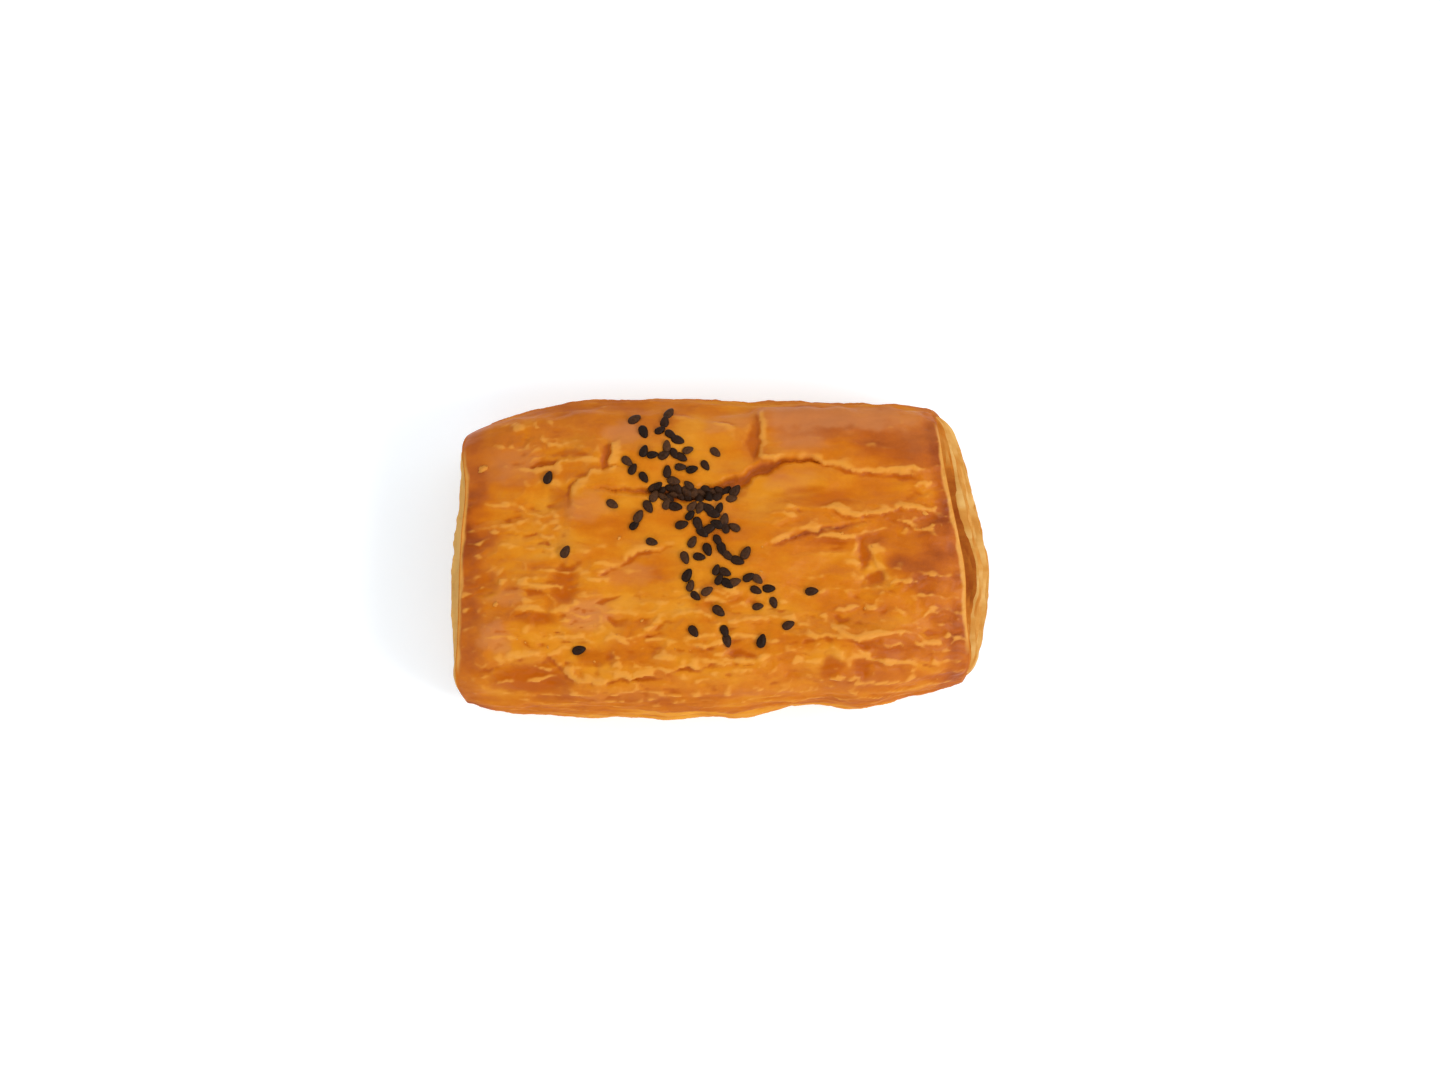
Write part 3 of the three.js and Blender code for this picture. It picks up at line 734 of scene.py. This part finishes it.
class Relief:
    """The crust's relief over the smooth dough on an even grid, and how its colour follows that, with
    painted shade where it lies low.
    """

    def __init__(self):
        xs, ys = (np.arange(-half, half, RELIEF_STEP) for half in RELIEF_HALF)
        self.x, self.y = np.meshgrid(xs, ys, indexing="ij")
        self.ragged_x, self.ragged_y = strayed("ragged", self.x, self.y, *RAGGED)
        self.flaky = np.clip(patches(self.x, self.y, FLAKY, soft), 0, 1)
        broken = BROKEN_MEAN + unevenness("broken edges", self.x, self.y, *BROKEN)
        self.broken = np.clip(broken, BROKEN_LEAST, 1)
        dip = np.clip(patches(self.ragged_x, self.ragged_y, SHADED_HOLLOWS, firm), 0, 1)
        self.height = -DIP_DEPTH * dip
        self.tone = np.zeros_like(self.x)
        self.add_plates()
        self.add_small_flakes()
        self.add_ripples()
        for step, line in CREASES:
            self.add_crease(step, CREASE_REACH, line, GROOVE)
        self.add_streaks()
        self.add_specks()
        raised = (self.height - blurred(self.height, RAISED_OVER)) / RAISED_STEP
        self.pale = smoothstep(*PALE_STEPS, raised)
        # painted shade: the colour turns deep where the relief lies below its surroundings and in the
        # hollows
        self.recess_shade = np.maximum(smoothstep(*RECESS_SHADE_STEPS, -raised), dip)
        self.height += unevenness("pillows", self.x, self.y, *PILLOWS)
        self.add_sheets()
        self.add_cracks()

    def add_plates(self):
        """Small plates at odd heights and slopes with ridges round them, where the skin has crumpled."""
        bent_x, bent_y = strayed("bend", self.x, self.y, *BENT)
        strength = PLATES_LEAST + (1 - PLATES_LEAST) * self.flaky
        for length, width, step, slope, ridge in PLATES:
            cells = Cells(f"plates {length}", bent_x, bent_y, length, width)
            rise = (cells.draws[..., 1:3] * cells.from_middle).sum(axis=-1)
            inner = smoothstep(0, PLATE_EDGE, cells.border)
            plate = (step * cells.draws[..., 0] + slope * rise) * inner
            self.height += strength * (plate + ridge * np.exp(-(cells.border / RIDGE_WIDTH) ** 2))
            self.tone += PLATE_TONE * strength * step * cells.draws[..., 3] * inner

    def add_crease(self, step, reach, line, groove_depth):
        """Raise the crust on the left of a line, down to flat again behind it, with a groove before it."""
        xs, ys = np.transpose(line)
        near = (self.x > min(xs) - CREASE_MARGIN) & (self.x < max(xs) + CREASE_MARGIN)
        near &= (self.y > min(ys) - CREASE_MARGIN) & (self.y < max(ys) + CREASE_MARGIN)
        within, along = line_distance(self.ragged_x[near], self.ragged_y[near], line)
        strength = np.clip(np.sin(math.pi * along) * CREASE_RISE, 0, 1) * self.broken[near]
        flake = smoothstep(-CREASE_LIP, CREASE_LIP, within) * np.exp(-np.maximum(within, 0) / reach)
        fade = smoothstep(CREASE_MARGIN, CREASE_MARGIN / 2, np.abs(within))
        groove = np.exp(-((within + GROOVE_PLACE) / GROOVE_WIDTH) ** 2)
        self.height[near] += strength * step * (flake * fade - groove_depth * groove)

    def add_small_flakes(self):
        """Torn edges, mostly long the way the dough was rolled and mostly free at the front."""
        rng = named_draws("small flakes")
        shares = np.arange(FLAKE_POINTS) / (FLAKE_POINTS - 1) - 0.5
        for _ in range(SMALL_FLAKES):
            middle = rng.uniform(*FLAKE_AREA)
            heading = rng.normal(0, FLAKE_TURN) + math.pi * (rng.uniform() < FLAKE_BACK)
            way = np.array([math.cos(heading), math.sin(heading)])
            aside = np.array([-way[1], way[0]])
            length = rng.uniform(*FLAKE_LENGTH)
            wander = rng.normal(0, FLAKE_BEND * length, FLAKE_POINTS)
            line = middle + np.outer(shares, way * length) + np.outer(wander, aside)
            step = read_field(self.flaky, *middle[:, None])[0] * rng.uniform(*FLAKE_STEP)
            self.add_crease(step, rng.uniform(*FLAKE_REACH), line, FLAKE_GROOVE)

    def add_streaks(self):
        """Ragged ridges, highest in the middle of their length."""
        for x, y, length in STREAKS:
            near = (np.abs(self.x - x) < length / 2 + STREAK_MARGIN) & (np.abs(self.y - y) < STREAK_MARGIN)
            along = (self.ragged_x[near] - x) / (length / 2)
            aside = (self.ragged_y[near] - y) / STREAK_WIDTH
            self.height[near] += STREAK_HEIGHT * np.exp(-along ** 4 - aside ** 2)

    def add_specks(self):
        """Small blisters over the flaky parts."""
        for length, width, height in SPECKS:
            bumps = Noise(f"specks {length}").rough(self.x / length, self.y / width, RELIEF_OCTAVES)
            self.height += height * self.flaky * np.maximum(bumps - SPECK_FLOOR, 0)

    def add_ripples(self):
        """Long low ripples in the folds, with creases between them."""
        for length, width, height in RIPPLES:
            noise = Noise(f"ripples {length}")
            wave = noise.rough(self.ragged_x / length, self.ragged_y / width, RELIEF_OCTAVES)
            ripple = np.minimum(np.abs(wave), RIPPLE_TOP) - RIPPLE_TOP / 2
            self.height += on_fold(self.y) * height * ripple

    def add_sheets(self):
        random = random_run(TEAR_DRAW)
        for thickness, corners in SHEETS:
            within = inside_distance(self.ragged_x, self.ragged_y, torn_outline(corners, random))
            self.height += thickness * smoothstep(-SHEET_SLOPE, SHEET_SLOPE, within)

    def add_cracks(self):
        for width, depth, line in CRACKS:
            within = crack_distance(self.ragged_x, self.ragged_y, line, width)
            self.height -= depth * smoothstep(*CRACK_SIDE, within)
            # painted shade: the crust is browned darker inside the cracks
            self.tone += CRACK_SHADE * smoothstep(*CRACK_SHADE_SPAN, within)


def add_object(name, data):
    thing = bpy.data.objects.new(name, data)
    bpy.context.scene.collection.objects.link(thing)
    return thing


def new_piece(name, vertices, faces, material, looks):
    """A piece of the pastry; its looks are what the material reads at each vertex, from 0 to 1."""
    mesh = bpy.data.meshes.new(name)
    mesh.from_pydata((vertices * MM).tolist(), [], faces)
    mesh.shade_smooth()
    mesh.materials.append(material)
    for look, values in looks.items():
        attribute = mesh.attributes.new(look, "FLOAT", "POINT")
        attribute.data.foreach_set("value", np.full(len(vertices), np.clip(values, 0, 1), np.float32))
    mesh.update()
    piece = add_object(name, mesh)
    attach(piece, "root")
    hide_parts("pastry")
    return piece


def block_grid(cells):
    """Points of a block's skin from -1 to 1, with its faces: grids all round, and the base as one face."""
    along, across, up = cells

    def key(i, j, k):
        return (np.asarray(i) * (across + 1) + j) * (up + 1) + k

    def quads(first, second, place, flip):
        i, j = (grid.ravel() for grid in np.meshgrid(np.arange(first), np.arange(second), indexing="ij"))
        corners = [place(i, j), place(i + 1, j), place(i + 1, j + 1), place(i, j + 1)]
        return np.stack(corners[::-1] if flip else corners, axis=1)

    grids = [
        quads(along, across, lambda i, j: key(i, j, up), False),
        quads(along, up, lambda i, k: key(i, 0, k), False),
        quads(along, up, lambda i, k: key(i, across, k), True),
        quads(across, up, lambda j, k: key(0, j, k), True),
        quads(across, up, lambda j, k: key(along, j, k), False),
    ]
    rim = np.concatenate([
        key(0, np.arange(across), 0),
        key(np.arange(along), across, 0),
        key(along, np.arange(across, 0, -1), 0),
        key(np.arange(along, 0, -1), 0, 0),
    ])
    used, faces = np.unique(np.concatenate(grids), return_inverse=True)
    faces = faces.reshape(-1, 4).tolist() + [np.searchsorted(used, rim).tolist()]
    i, rest = np.divmod(used, (across + 1) * (up + 1))
    j, k = np.divmod(rest, up + 1)
    points = np.stack([2 * i / along - 1, 2 * j / across - 1, 2 * k / up - 1], axis=1)
    return points, faces


def outward(points, faces):
    """Smooth normals of a mesh."""
    mesh = bpy.data.meshes.new("normals")
    mesh.from_pydata(points.tolist(), [], faces)
    normals = np.zeros(len(points) * 3, np.float32)
    mesh.vertex_normals.foreach_get("vector", normals)
    bpy.data.meshes.remove(mesh)
    return normals.reshape(-1, 3)


class Skin:
    """The smooth dough's skin: its block grid, its places, and where they lie on a sheet laid over it."""

    def __init__(self):
        block, self.faces = block_grid(CELLS)
        self.a, self.b, self.up = block.T
        points, drop = dough_form(self.a, self.b, self.up)
        self.points = recentred(points)
        self.x, y, self.z = self.points.T
        self.over = y + np.sign(self.b) * np.maximum(drop - SHOULDER_DROP, 0)
        self.at_end = np.abs(self.a) == 1
        self.shown = smoothstep(1, SKIN_END, np.abs(self.a)) * smoothstep(-1, SKIN_FOOT, self.up)

    def read(self, field):
        return read_field(field, self.x, self.over)


def crust_points(skin, relief):
    """The skin with its relief, and with its cut ends set back behind the leaves."""
    lift = (skin.read(relief.height) - FOLD_IN * on_fold(skin.over)) * skin.shown
    points = skin.points + outward(skin.points, skin.faces) * lift[:, None]
    fall, _ = layer_fall(skin.b, skin.up)
    wall = WALL_BACK * smoothstep(1, WALL_TOP, skin.up) * (1 - skin.b ** LAYER_FADE)
    points[:, 0] -= np.sign(skin.a) * (fall + wall) * skin.at_end * smoothstep(0, WALL_FOOT, skin.z)
    points[:, 2] = np.where(skin.up == -1, 0, np.maximum(points[:, 2], 0))
    return points


def browned(x, over):
    """How brown the skin is: in patches on the top, more on the shoulders, less below the egg wash."""
    patchy = patches(*strayed("browned", x, over, *BROWN_STRAY), BROWNED, soft)
    tone = BROWN_MEAN + patchy + unevenness("browning", x, over, *BROWN_CLOUDS)
    below_wash = np.abs(over) - WASH_LINE + unevenness("egg wash", x, over, *WASH_STRAY)
    fold_tone = FOLD_TONE + unevenness("fold streaks", x, over, *FOLD_STREAKS)
    return tone + on_fold(over) * (fold_tone - WASH_TONE * smoothstep(*WASH_EDGE, below_wash))


def pale_rim(skin):
    """How far the crust's torn edge shows at the cut ends."""
    edge, _ = dough_form(np.where(skin.a > 0, 1.0, -1.0), skin.b, skin.up)
    stray = unevenness("rim", skin.x, skin.points[:, 1], *RIM_STRAY)
    inward = np.abs(recentred(edge)[:, 0] - skin.x) + stray
    width, strength = (np.where(skin.a > 0, *ends) for ends in zip(RIM[1], RIM[-1]))
    return strength * smoothstep(width, width / 2, inward) * (skin.up == 1) * (1 - skin.b ** RIM_FADE)


def crust_looks(skin, relief):
    near_end = EDGE_TONE * smoothstep(*EDGE_FROM, np.abs(skin.a))
    # the bloom patches are a painted sheen, pale where the glaze would reflect the light
    bloom = patches(*strayed("bloom", skin.x, skin.over, *PAINTED_SHEEN_STRAY), PAINTED_SHEEN, firm)
    follows = skin.shown * (1 - FOLD_PLAIN * on_fold(skin.over))
    return {
        # the relief's tone holds the plates' browning and the cracks' painted shade
        "browning": browned(skin.x, skin.over) + near_end + skin.read(relief.tone) * skin.shown,
        "pale": skin.read(relief.pale) * follows,
        # painted shade over the relief's low places and hollows
        "recess_shade": skin.read(relief.recess_shade) * follows,
        "bloom": bloom * skin.shown,
        "cut_end": np.where(skin.at_end, 1.0, pale_rim(skin)),
        # the end wall is dark with painted shade behind the leaves
        "lip": np.where(skin.at_end, WALL_PALE, RIM_PALE),
        "glaze": smoothstep(*GLAZED, np.abs(skin.over)) * skin.shown,
    }


def make_body(material):
    """The crust; its relief and colours run down over the folds as on a sheet laid over."""
    skin = Skin()
    relief = Relief()
    points = crust_points(skin, relief)
    body = new_piece("pastry_crust", points, skin.faces, material, crust_looks(skin, relief))
    body.data.polygons[-1].use_smooth = False
    body.data.set_sharp_from_angle(angle=math.radians(SHARP_ANGLE))
    return body


def slab_faces(columns, rows, start):
    """Faces of a closed slab of two grids of points, the upper one first."""
    def upper(i, j):
        return start + i * (rows + 1) + j

    under = (columns + 1) * (rows + 1)
    faces = []
    for i in range(columns):
        for j in range(rows):
            corners = (upper(i, j), upper(i + 1, j), upper(i + 1, j + 1), upper(i, j + 1))
            faces += [corners, tuple(under + corner for corner in reversed(corners))]
    rim = [upper(i, 0) for i in range(columns)] + [upper(columns, j) for j in range(rows)]
    rim += [upper(i, rows) for i in range(columns, 0, -1)] + [upper(0, j) for j in range(rows, 0, -1)]
    for corner, after in zip(rim, rim[1:] + rim[:1]):
        faces.append((after, corner, under + corner, under + after))
    return faces


def lip_pale(end, layer, across, gap):
    """How pale a leaf is along its lip, with painted shade deeper in its gap."""
    if layer == 0 and end > 0:
        # painted shade under the crust's overhang, paler towards the folds
        return RECESS_PALE + RECESS_FADED * smoothstep(*RECESS_FADE, np.abs(across))
    return LEAF_PALE[end] + LIP_PALE * smoothstep(*LIP_NEAR, gap)


def leaf_points(end, layer, share):
    """Upper and lower points of one leaf at a cut end, with how pale each is."""
    columns, rows = LEAF_CELLS
    steps = np.linspace(-LEAF_REACH, LEAF_REACH, columns + 1), np.linspace(0, 1, rows + 1)
    across, inward = (grid.ravel() for grid in np.meshgrid(*steps, indexing="ij"))
    still = np.zeros_like(across)
    noise = Noise(f"leaf {end} {layer} {share:.3f}")

    def uneven(waves, row, octaves):
        return noise.rough(waves * across, still + row, octaves)

    up = 1 - 2 * (layer + share) / LAYERS + LEAF_WAVE * uneven(*LEAF_WAVES)
    points, _ = dough_form(still + end, across, np.clip(up, -LEAF_REACH, LEAF_REACH))
    points = recentred(points)
    fall, gap = layer_fall(across, up)
    torn = uneven(*LEAF_TEARS) + LEAF_JAG * uneven(*LEAF_JAGS)
    torn = LEAF_TEAR * (LEAF_WORN + torn) * (1 - across ** LAYER_FADE)
    sunk = LEAF_SINK * (across / LEAF_REACH) ** SINK_POWER
    points[:, 0] -= end * (fall + np.maximum(torn, 0) + sunk + LEAF_DEPTH * inward - LEAF_PROUD)
    thin, thick = LEAF_THICKNESS
    half = np.array(UP) * (thin + (thick - thin) * inward)[:, None] / 2
    points[:, 2] += LEAF_CURL * (1 - inward) ** 2 * uneven(*LEAF_CURLS)
    points[:, 2] = np.maximum(points[:, 2], LEAF_FOOT + half[:, 2])
    pale = lip_pale(end, layer, across, gap) + LEAF_TINT * uneven(*LEAF_TINTS)
    # painted shade: each leaf darkens further in between the layers
    return points + half, points - half, np.clip(pale, 0, 1) * smoothstep(*LEAF_DARKENS, inward)


def make_leaves(material):
    rng = named_draws("leaves")
    points, faces, lips = [], [], []
    for end, layer, place in itertools.product((-1, 1), range(LAYERS), LEAF_PLACES):
        if (layer, place) in (TOP_LEAF, FOOT_LEAF):
            continue
        stray = rng.uniform(-LEAF_STRAY, LEAF_STRAY) if place else 0
        upper, lower, lip = leaf_points(end, layer, place + stray)
        leaf = slab_faces(*LEAF_CELLS, len(points) * len(upper))
        faces += leaf if end > 0 else [face[::-1] for face in leaf]
        points += [upper, lower]
        lips += [lip, lip]
    looks = {"cut_end": 1, "lip": np.concatenate(lips)}
    leaves = new_piece("dough_leaves", np.concatenate(points), faces, material, looks)
    leaves.data.set_sharp_from_angle(angle=math.radians(SHARP_ANGLE))


def ball_grid(columns, rows):
    """Points of a unit ball with poles at +X and -X, and its faces."""
    points = [(1, 0, 0)]
    for row in range(1, rows):
        tilt = math.pi * row / rows
        for column in range(columns):
            turn = 2 * math.pi * column / columns
            reach = math.sin(tilt)
            points.append((math.cos(tilt), reach * math.cos(turn), reach * math.sin(turn)))
    points.append((-1, 0, 0))
    faces = []
    for column in range(columns):
        after = (column + 1) % columns
        faces.append((0, 1 + column, 1 + after))
        for row in range(rows - 2):
            start = 1 + row * columns
            faces.append((start + column, start + columns + column, start + columns + after, start + after))
        end = 1 + (rows - 2) * columns
        faces.append((len(points) - 1, end + after, end + column))
    return np.array(points), faces


class Strewn:
    """Small rounded things laid on the crust, joined into one piece."""

    def __init__(self, body, cells):
        self.crust = BVHTree.FromObject(body, bpy.context.evaluated_depsgraph_get())
        self.ball, self.ball_faces = ball_grid(*cells)
        self.points = []
        self.faces = []

    def crust_under(self, x, y):
        """The crust's place and slope under a point of the plan."""
        place, slope, _, _ = self.crust.ray_cast(Vector((x, y, 2 * HEIGHT)) * MM, -UP)
        return np.array(place) / MM, slope

    def lay(self, form, lie, middle):
        start = len(self.points) * len(self.ball)
        self.points.append(form @ np.array(lie).T + middle)
        self.faces += [tuple(start + corner for corner in face) for face in self.ball_faces]

    def join(self, name, material, looks):
        new_piece(name, np.concatenate(self.points), self.faces, material, looks)


def off_middle(random):
    """A draw from -1.5 to 1.5, mostly near 0."""
    return next(random) + next(random) + next(random) - 1.5


def heaped_seeds(random):
    """The heaps' seeds as (x, y, turn), each clear of the ones before it."""
    seeds = []
    for (from_x, from_y), (to_x, to_y), stray, spacing, count in HEAPS:
        to_lay = count
        for _ in range(HEAP_TRIES):
            if to_lay == 0:
                break
            along = next(random)
            off_x = 2 * stray * off_middle(random)
            off_y = 2 * stray * off_middle(random)
            x = from_x + (to_x - from_x) * along + off_x
            y = from_y + (to_y - from_y) * along + off_y
            if all(math.hypot(other_x - x, other_y - y) > spacing for other_x, other_y, _ in seeds):
                seeds.append((x, y, 360 * next(random)))
                to_lay -= 1
    return seeds


def make_seeds(body, material):
    random = random_run(SEED_DRAW)
    shade_draws = np.random.default_rng(SHADE_DRAW)
    seeds = Strewn(body, SEED_CELLS)
    seeds.ball[:, 1] *= 1 - SEED_TAPER * seeds.ball[:, 0]
    shades = []
    for x, y, turn in SINGLE_SEEDS + heaped_seeds(random):
        scale = 1 + SEED_UNEVENNESS * (2 * next(random) - 1)
        place, slope = seeds.crust_under(x, y)
        normal = (slope + SEED_FLATNESS * UP).normalized()
        lie = UP.rotation_difference(normal).to_matrix() @ Matrix.Rotation(math.radians(turn), 3, "Z")
        half_size = np.array(SEED_SIZE) * scale / 2
        seeds.lay(seeds.ball * half_size, lie, place + SEED_LIFT * np.array(normal))
        shades.append(shade_draws.uniform(*SEED_SHADES))
    seeds.join("sesame_seeds", material, {"shade": np.repeat(shades, len(seeds.ball))})


def make_crumbs(body, material):
    """Small torn bits of leaf that lie on the crust."""
    rng = named_draws("crumbs")
    crumbs = Strewn(body, CRUMB_CELLS)
    strewn = [(*rng.uniform(*CRUMB_AREA), rng.uniform(*CRUMB_SIZE)) for _ in range(CRUMBS)]
    for x, y, size in strewn + PLACED_CRUMBS:
        place, slope = crumbs.crust_under(x, y)
        lie = slope.to_track_quat("Z", "Y").to_matrix() @ Matrix.Rotation(rng.uniform(0, math.pi), 3, "Z")
        uneven = rng.uniform(*CRUMB_UNEVENNESS, (len(crumbs.ball), 1))
        crumbs.lay(crumbs.ball * uneven * (size / 2) * np.array(CRUMB_FORM), lie, place)
    crumbs.join("crumbs", material, {"cut_end": 1, "lip": CRUMB_PALE})


def linear(colour):
    """A colour as it looks in the studio's light, in display values from 0 to 255, for a shader."""
    shown = Color([value / 255 for value in colour]).from_srgb_to_scene_linear()
    return (*(shown * SHADE), 1)


def fill_ramp(node, stops):
    elements = node.color_ramp.elements
    while len(elements) < len(stops):
        elements.new(1)
    for element, (place, colour) in zip(elements, stops):
        element.position = place
        element.color = colour


class Shader:
    """The node tree of a material or a world, with short ways to add to it."""

    MIXED = (6, 7)  # a mix node's inputs for colours
    MIX = 2  # and its output for them

    def __init__(self, owner):
        owner.use_nodes = True
        self.tree = owner.node_tree

    def add(self, kind, **inputs):
        return self.fill(self.tree.nodes.new(kind), inputs)

    def fill(self, node, inputs):
        for name, value in inputs.items():
            self.put(node.inputs[name], value)
        return node

    def put(self, socket, value):
        if isinstance(value, bpy.types.NodeSocket):
            self.tree.links.new(value, socket)
        else:
            socket.default_value = value

    def attribute(self, name):
        node = self.add("ShaderNodeAttribute")
        node.attribute_name = name
        return node.outputs["Fac"]

    def noise(self, waves, detail, distortion):
        """Noise over the object, with the length of its waves along each axis in millimetres."""
        where = self.add("ShaderNodeTexCoord").outputs["Object"]
        scale = [1 / (length * MM) for length in waves]
        stretched = self.add("ShaderNodeMapping", Vector=where, Scale=scale).outputs[0]
        inputs = {"Vector": stretched, "Scale": 1, "Detail": detail, "Distortion": distortion}
        return self.add("ShaderNodeTexNoise", **inputs).outputs["Fac"]

    def math(self, operation, one, other):
        node = self.add("ShaderNodeMath")
        node.operation = operation
        self.put(node.inputs[0], one)
        self.put(node.inputs[1], other)
        return node.outputs[0]

    def varied(self, value, noise, amount):
        """A value with noise from -amount to amount added to it."""
        centred = self.math("SUBTRACT", noise, 0.5)
        return self.math("ADD", value, self.math("MULTIPLY", centred, 2 * amount))

    def remap(self, value, low, high, to_low, to_high):
        node = self.add("ShaderNodeMapRange")
        node.interpolation_type = "SMOOTHSTEP"
        for socket, given in zip(node.inputs, (value, low, high, to_low, to_high)):
            self.put(socket, given)
        return node.outputs[0]

    def ramp(self, value, stops):
        node = self.add("ShaderNodeValToRGB", Fac=value)
        fill_ramp(node, [(place, linear(colour)) for place, colour in stops])
        return node.outputs["Color"]

    def tint(self, colour, attribute, noise, amount, low, high, most, tint):
        """A colour with another over it, where an attribute varied by noise says so."""
        share = self.remap(self.varied(self.attribute(attribute), noise, amount), low, high, 0, most)
        return self.mix(share, colour, linear(tint))

    def mix(self, share, one, other):
        node = self.add("ShaderNodeMix")
        node.data_type = "RGBA"
        self.put(node.inputs["Factor"], share)
        for place, colour in zip(self.MIXED, (one, other)):
            self.put(node.inputs[place], colour)
        return node.outputs[self.MIX]

    def bump(self, height, distance):
        return self.add("ShaderNodeBump", Height=height, Distance=distance * MM).outputs["Normal"]


def new_material(name, make_looks):
    """A material whose surface has the looks that a function makes with its shader."""
    material = bpy.data.materials.new(name)
    shader = Shader(material)
    shader.fill(shader.tree.nodes["Principled BSDF"], make_looks(shader))
    return material


def crust_surface(shader):
    streaks = shader.noise(*STREAKY)
    grain = shader.noise(*GRAINY)
    clouds = shader.noise(*CLOUDY)
    browning = shader.varied(shader.attribute("browning"), streaks, BROWN_STREAKS)
    browning = shader.varied(browning, clouds, BROWN_CLOUDED)
    browning = shader.varied(browning, grain, BROWN_GRAIN)
    colour = shader.ramp(browning, CRUST_COLOURS)
    # the bloom patches are a painted sheen, pale where the glaze would reflect the light
    colour = shader.tint(colour, "bloom", clouds, *PAINTED_SHEEN_TINT)
    # painted shade: a deep orange-brown over the relief's low places and hollows
    colour = shader.tint(colour, "recess_shade", streaks, *RECESS_SHADE_TINT)
    colour = shader.tint(colour, "pale", streaks, *PALE_TINT)
    # the cut dough's colour, with painted shade deep in the gaps, under the crust and on the end wall
    dough = shader.ramp(shader.varied(shader.attribute("lip"), streaks, DOUGH_STREAKS), DOUGH_COLOURS)
    glaze = shader.varied(shader.attribute("glaze"), grain, GLAZE_GRAIN)
    height = shader.varied(shader.math("MULTIPLY", streaks, BUMP_STREAKS), grain, BUMP_GRAIN)
    return {
        "Base Color": shader.mix(shader.attribute("cut_end"), colour, dough),
        "Roughness": shader.remap(glaze, 0, 1, *CRUST_ROUGHNESS),
        "Normal": shader.bump(height, CRUST_BUMP),
        "Specular IOR Level": CRUST_SPECULAR,
    }


def seed_surface(shader):
    grain = shader.noise(*SEED_GRAINY)
    shade = shader.varied(shader.attribute("shade"), grain, SHADE_GRAIN)
    return {
        "Base Color": shader.ramp(shade, SEED_COLOURS),
        "Roughness": shader.remap(grain, *SEED_GRAIN, *SEED_ROUGHNESS),
        "Normal": shader.bump(grain, SEED_BUMP),
        "Specular IOR Level": SEED_SPECULAR,
    }


def make_floor():
    corners = [(-1, -1, 0), (1, -1, 0), (1, 1, 0), (-1, 1, 0)]
    mesh = bpy.data.meshes.new("floor")
    mesh.from_pydata((FLOOR_HALF * np.array(corners)).tolist(), [], [(0, 1, 2, 3)])
    mesh.materials.append(new_material("floor_white", lambda shader: FLOOR_LOOKS))
    floor = add_object("floor", mesh)


def make_key():
    light = bpy.data.lights.new("key", "AREA")
    light.shape = "DISK"
    light.size = KEY_SIZE
    light.energy = KEY_POWER
    lamp = add_object("key", light)
    lamp.location = KEY_PLACE
    lamp.rotation_euler = (Vector(KEY_TARGET) - Vector(KEY_PLACE)).to_track_quat("-Z", "Y").to_euler()


def make_dome():
    """The studio's dome of light, its strength set by the angle from its dark middle."""
    world = bpy.data.worlds.new("studio")
    shader = Shader(world)
    facing = shader.add("ShaderNodeVectorMath")
    facing.operation = "DOT_PRODUCT"
    shader.put(facing.inputs[0], shader.add("ShaderNodeTexCoord").outputs["Generated"])
    shader.put(facing.inputs[1], DOME_MIDDLE)
    sky = shader.add("ShaderNodeValToRGB", Fac=facing.outputs["Value"])
    fill_ramp(sky, [(place, (strength, strength, strength, 1)) for place, strength in DOME])
    shader.fill(shader.tree.nodes["Background"], {"Color": sky.outputs["Color"]})
    bpy.context.scene.world = world
    bpy.context.scene.view_settings.view_transform = "Standard"


def make_camera():
    camera = bpy.data.cameras.new("camera")
    camera.sensor_width = SENSOR_WIDTH
    camera.lens = SENSOR_WIDTH * CAMERA_DISTANCE / VIEW_WIDTH
    rig = add_object("camera", camera)
    tilt = math.radians(CAMERA_ELEVATION)
    back_off = Vector((0, -math.cos(tilt), math.sin(tilt))) * CAMERA_DISTANCE
    rig.location = Vector(CAMERA_TARGET) + back_off
    rig.rotation_euler = Euler((math.pi / 2 - tilt, 0, 0))
    bpy.context.scene.camera = rig


make_camera()
make_key()
make_dome()
make_floor()
crust = new_material("glazed_crust", crust_surface)
body = make_body(crust)
make_leaves(crust)
make_seeds(body, new_material("seed_coat", seed_surface))
make_crumbs(body, crust)
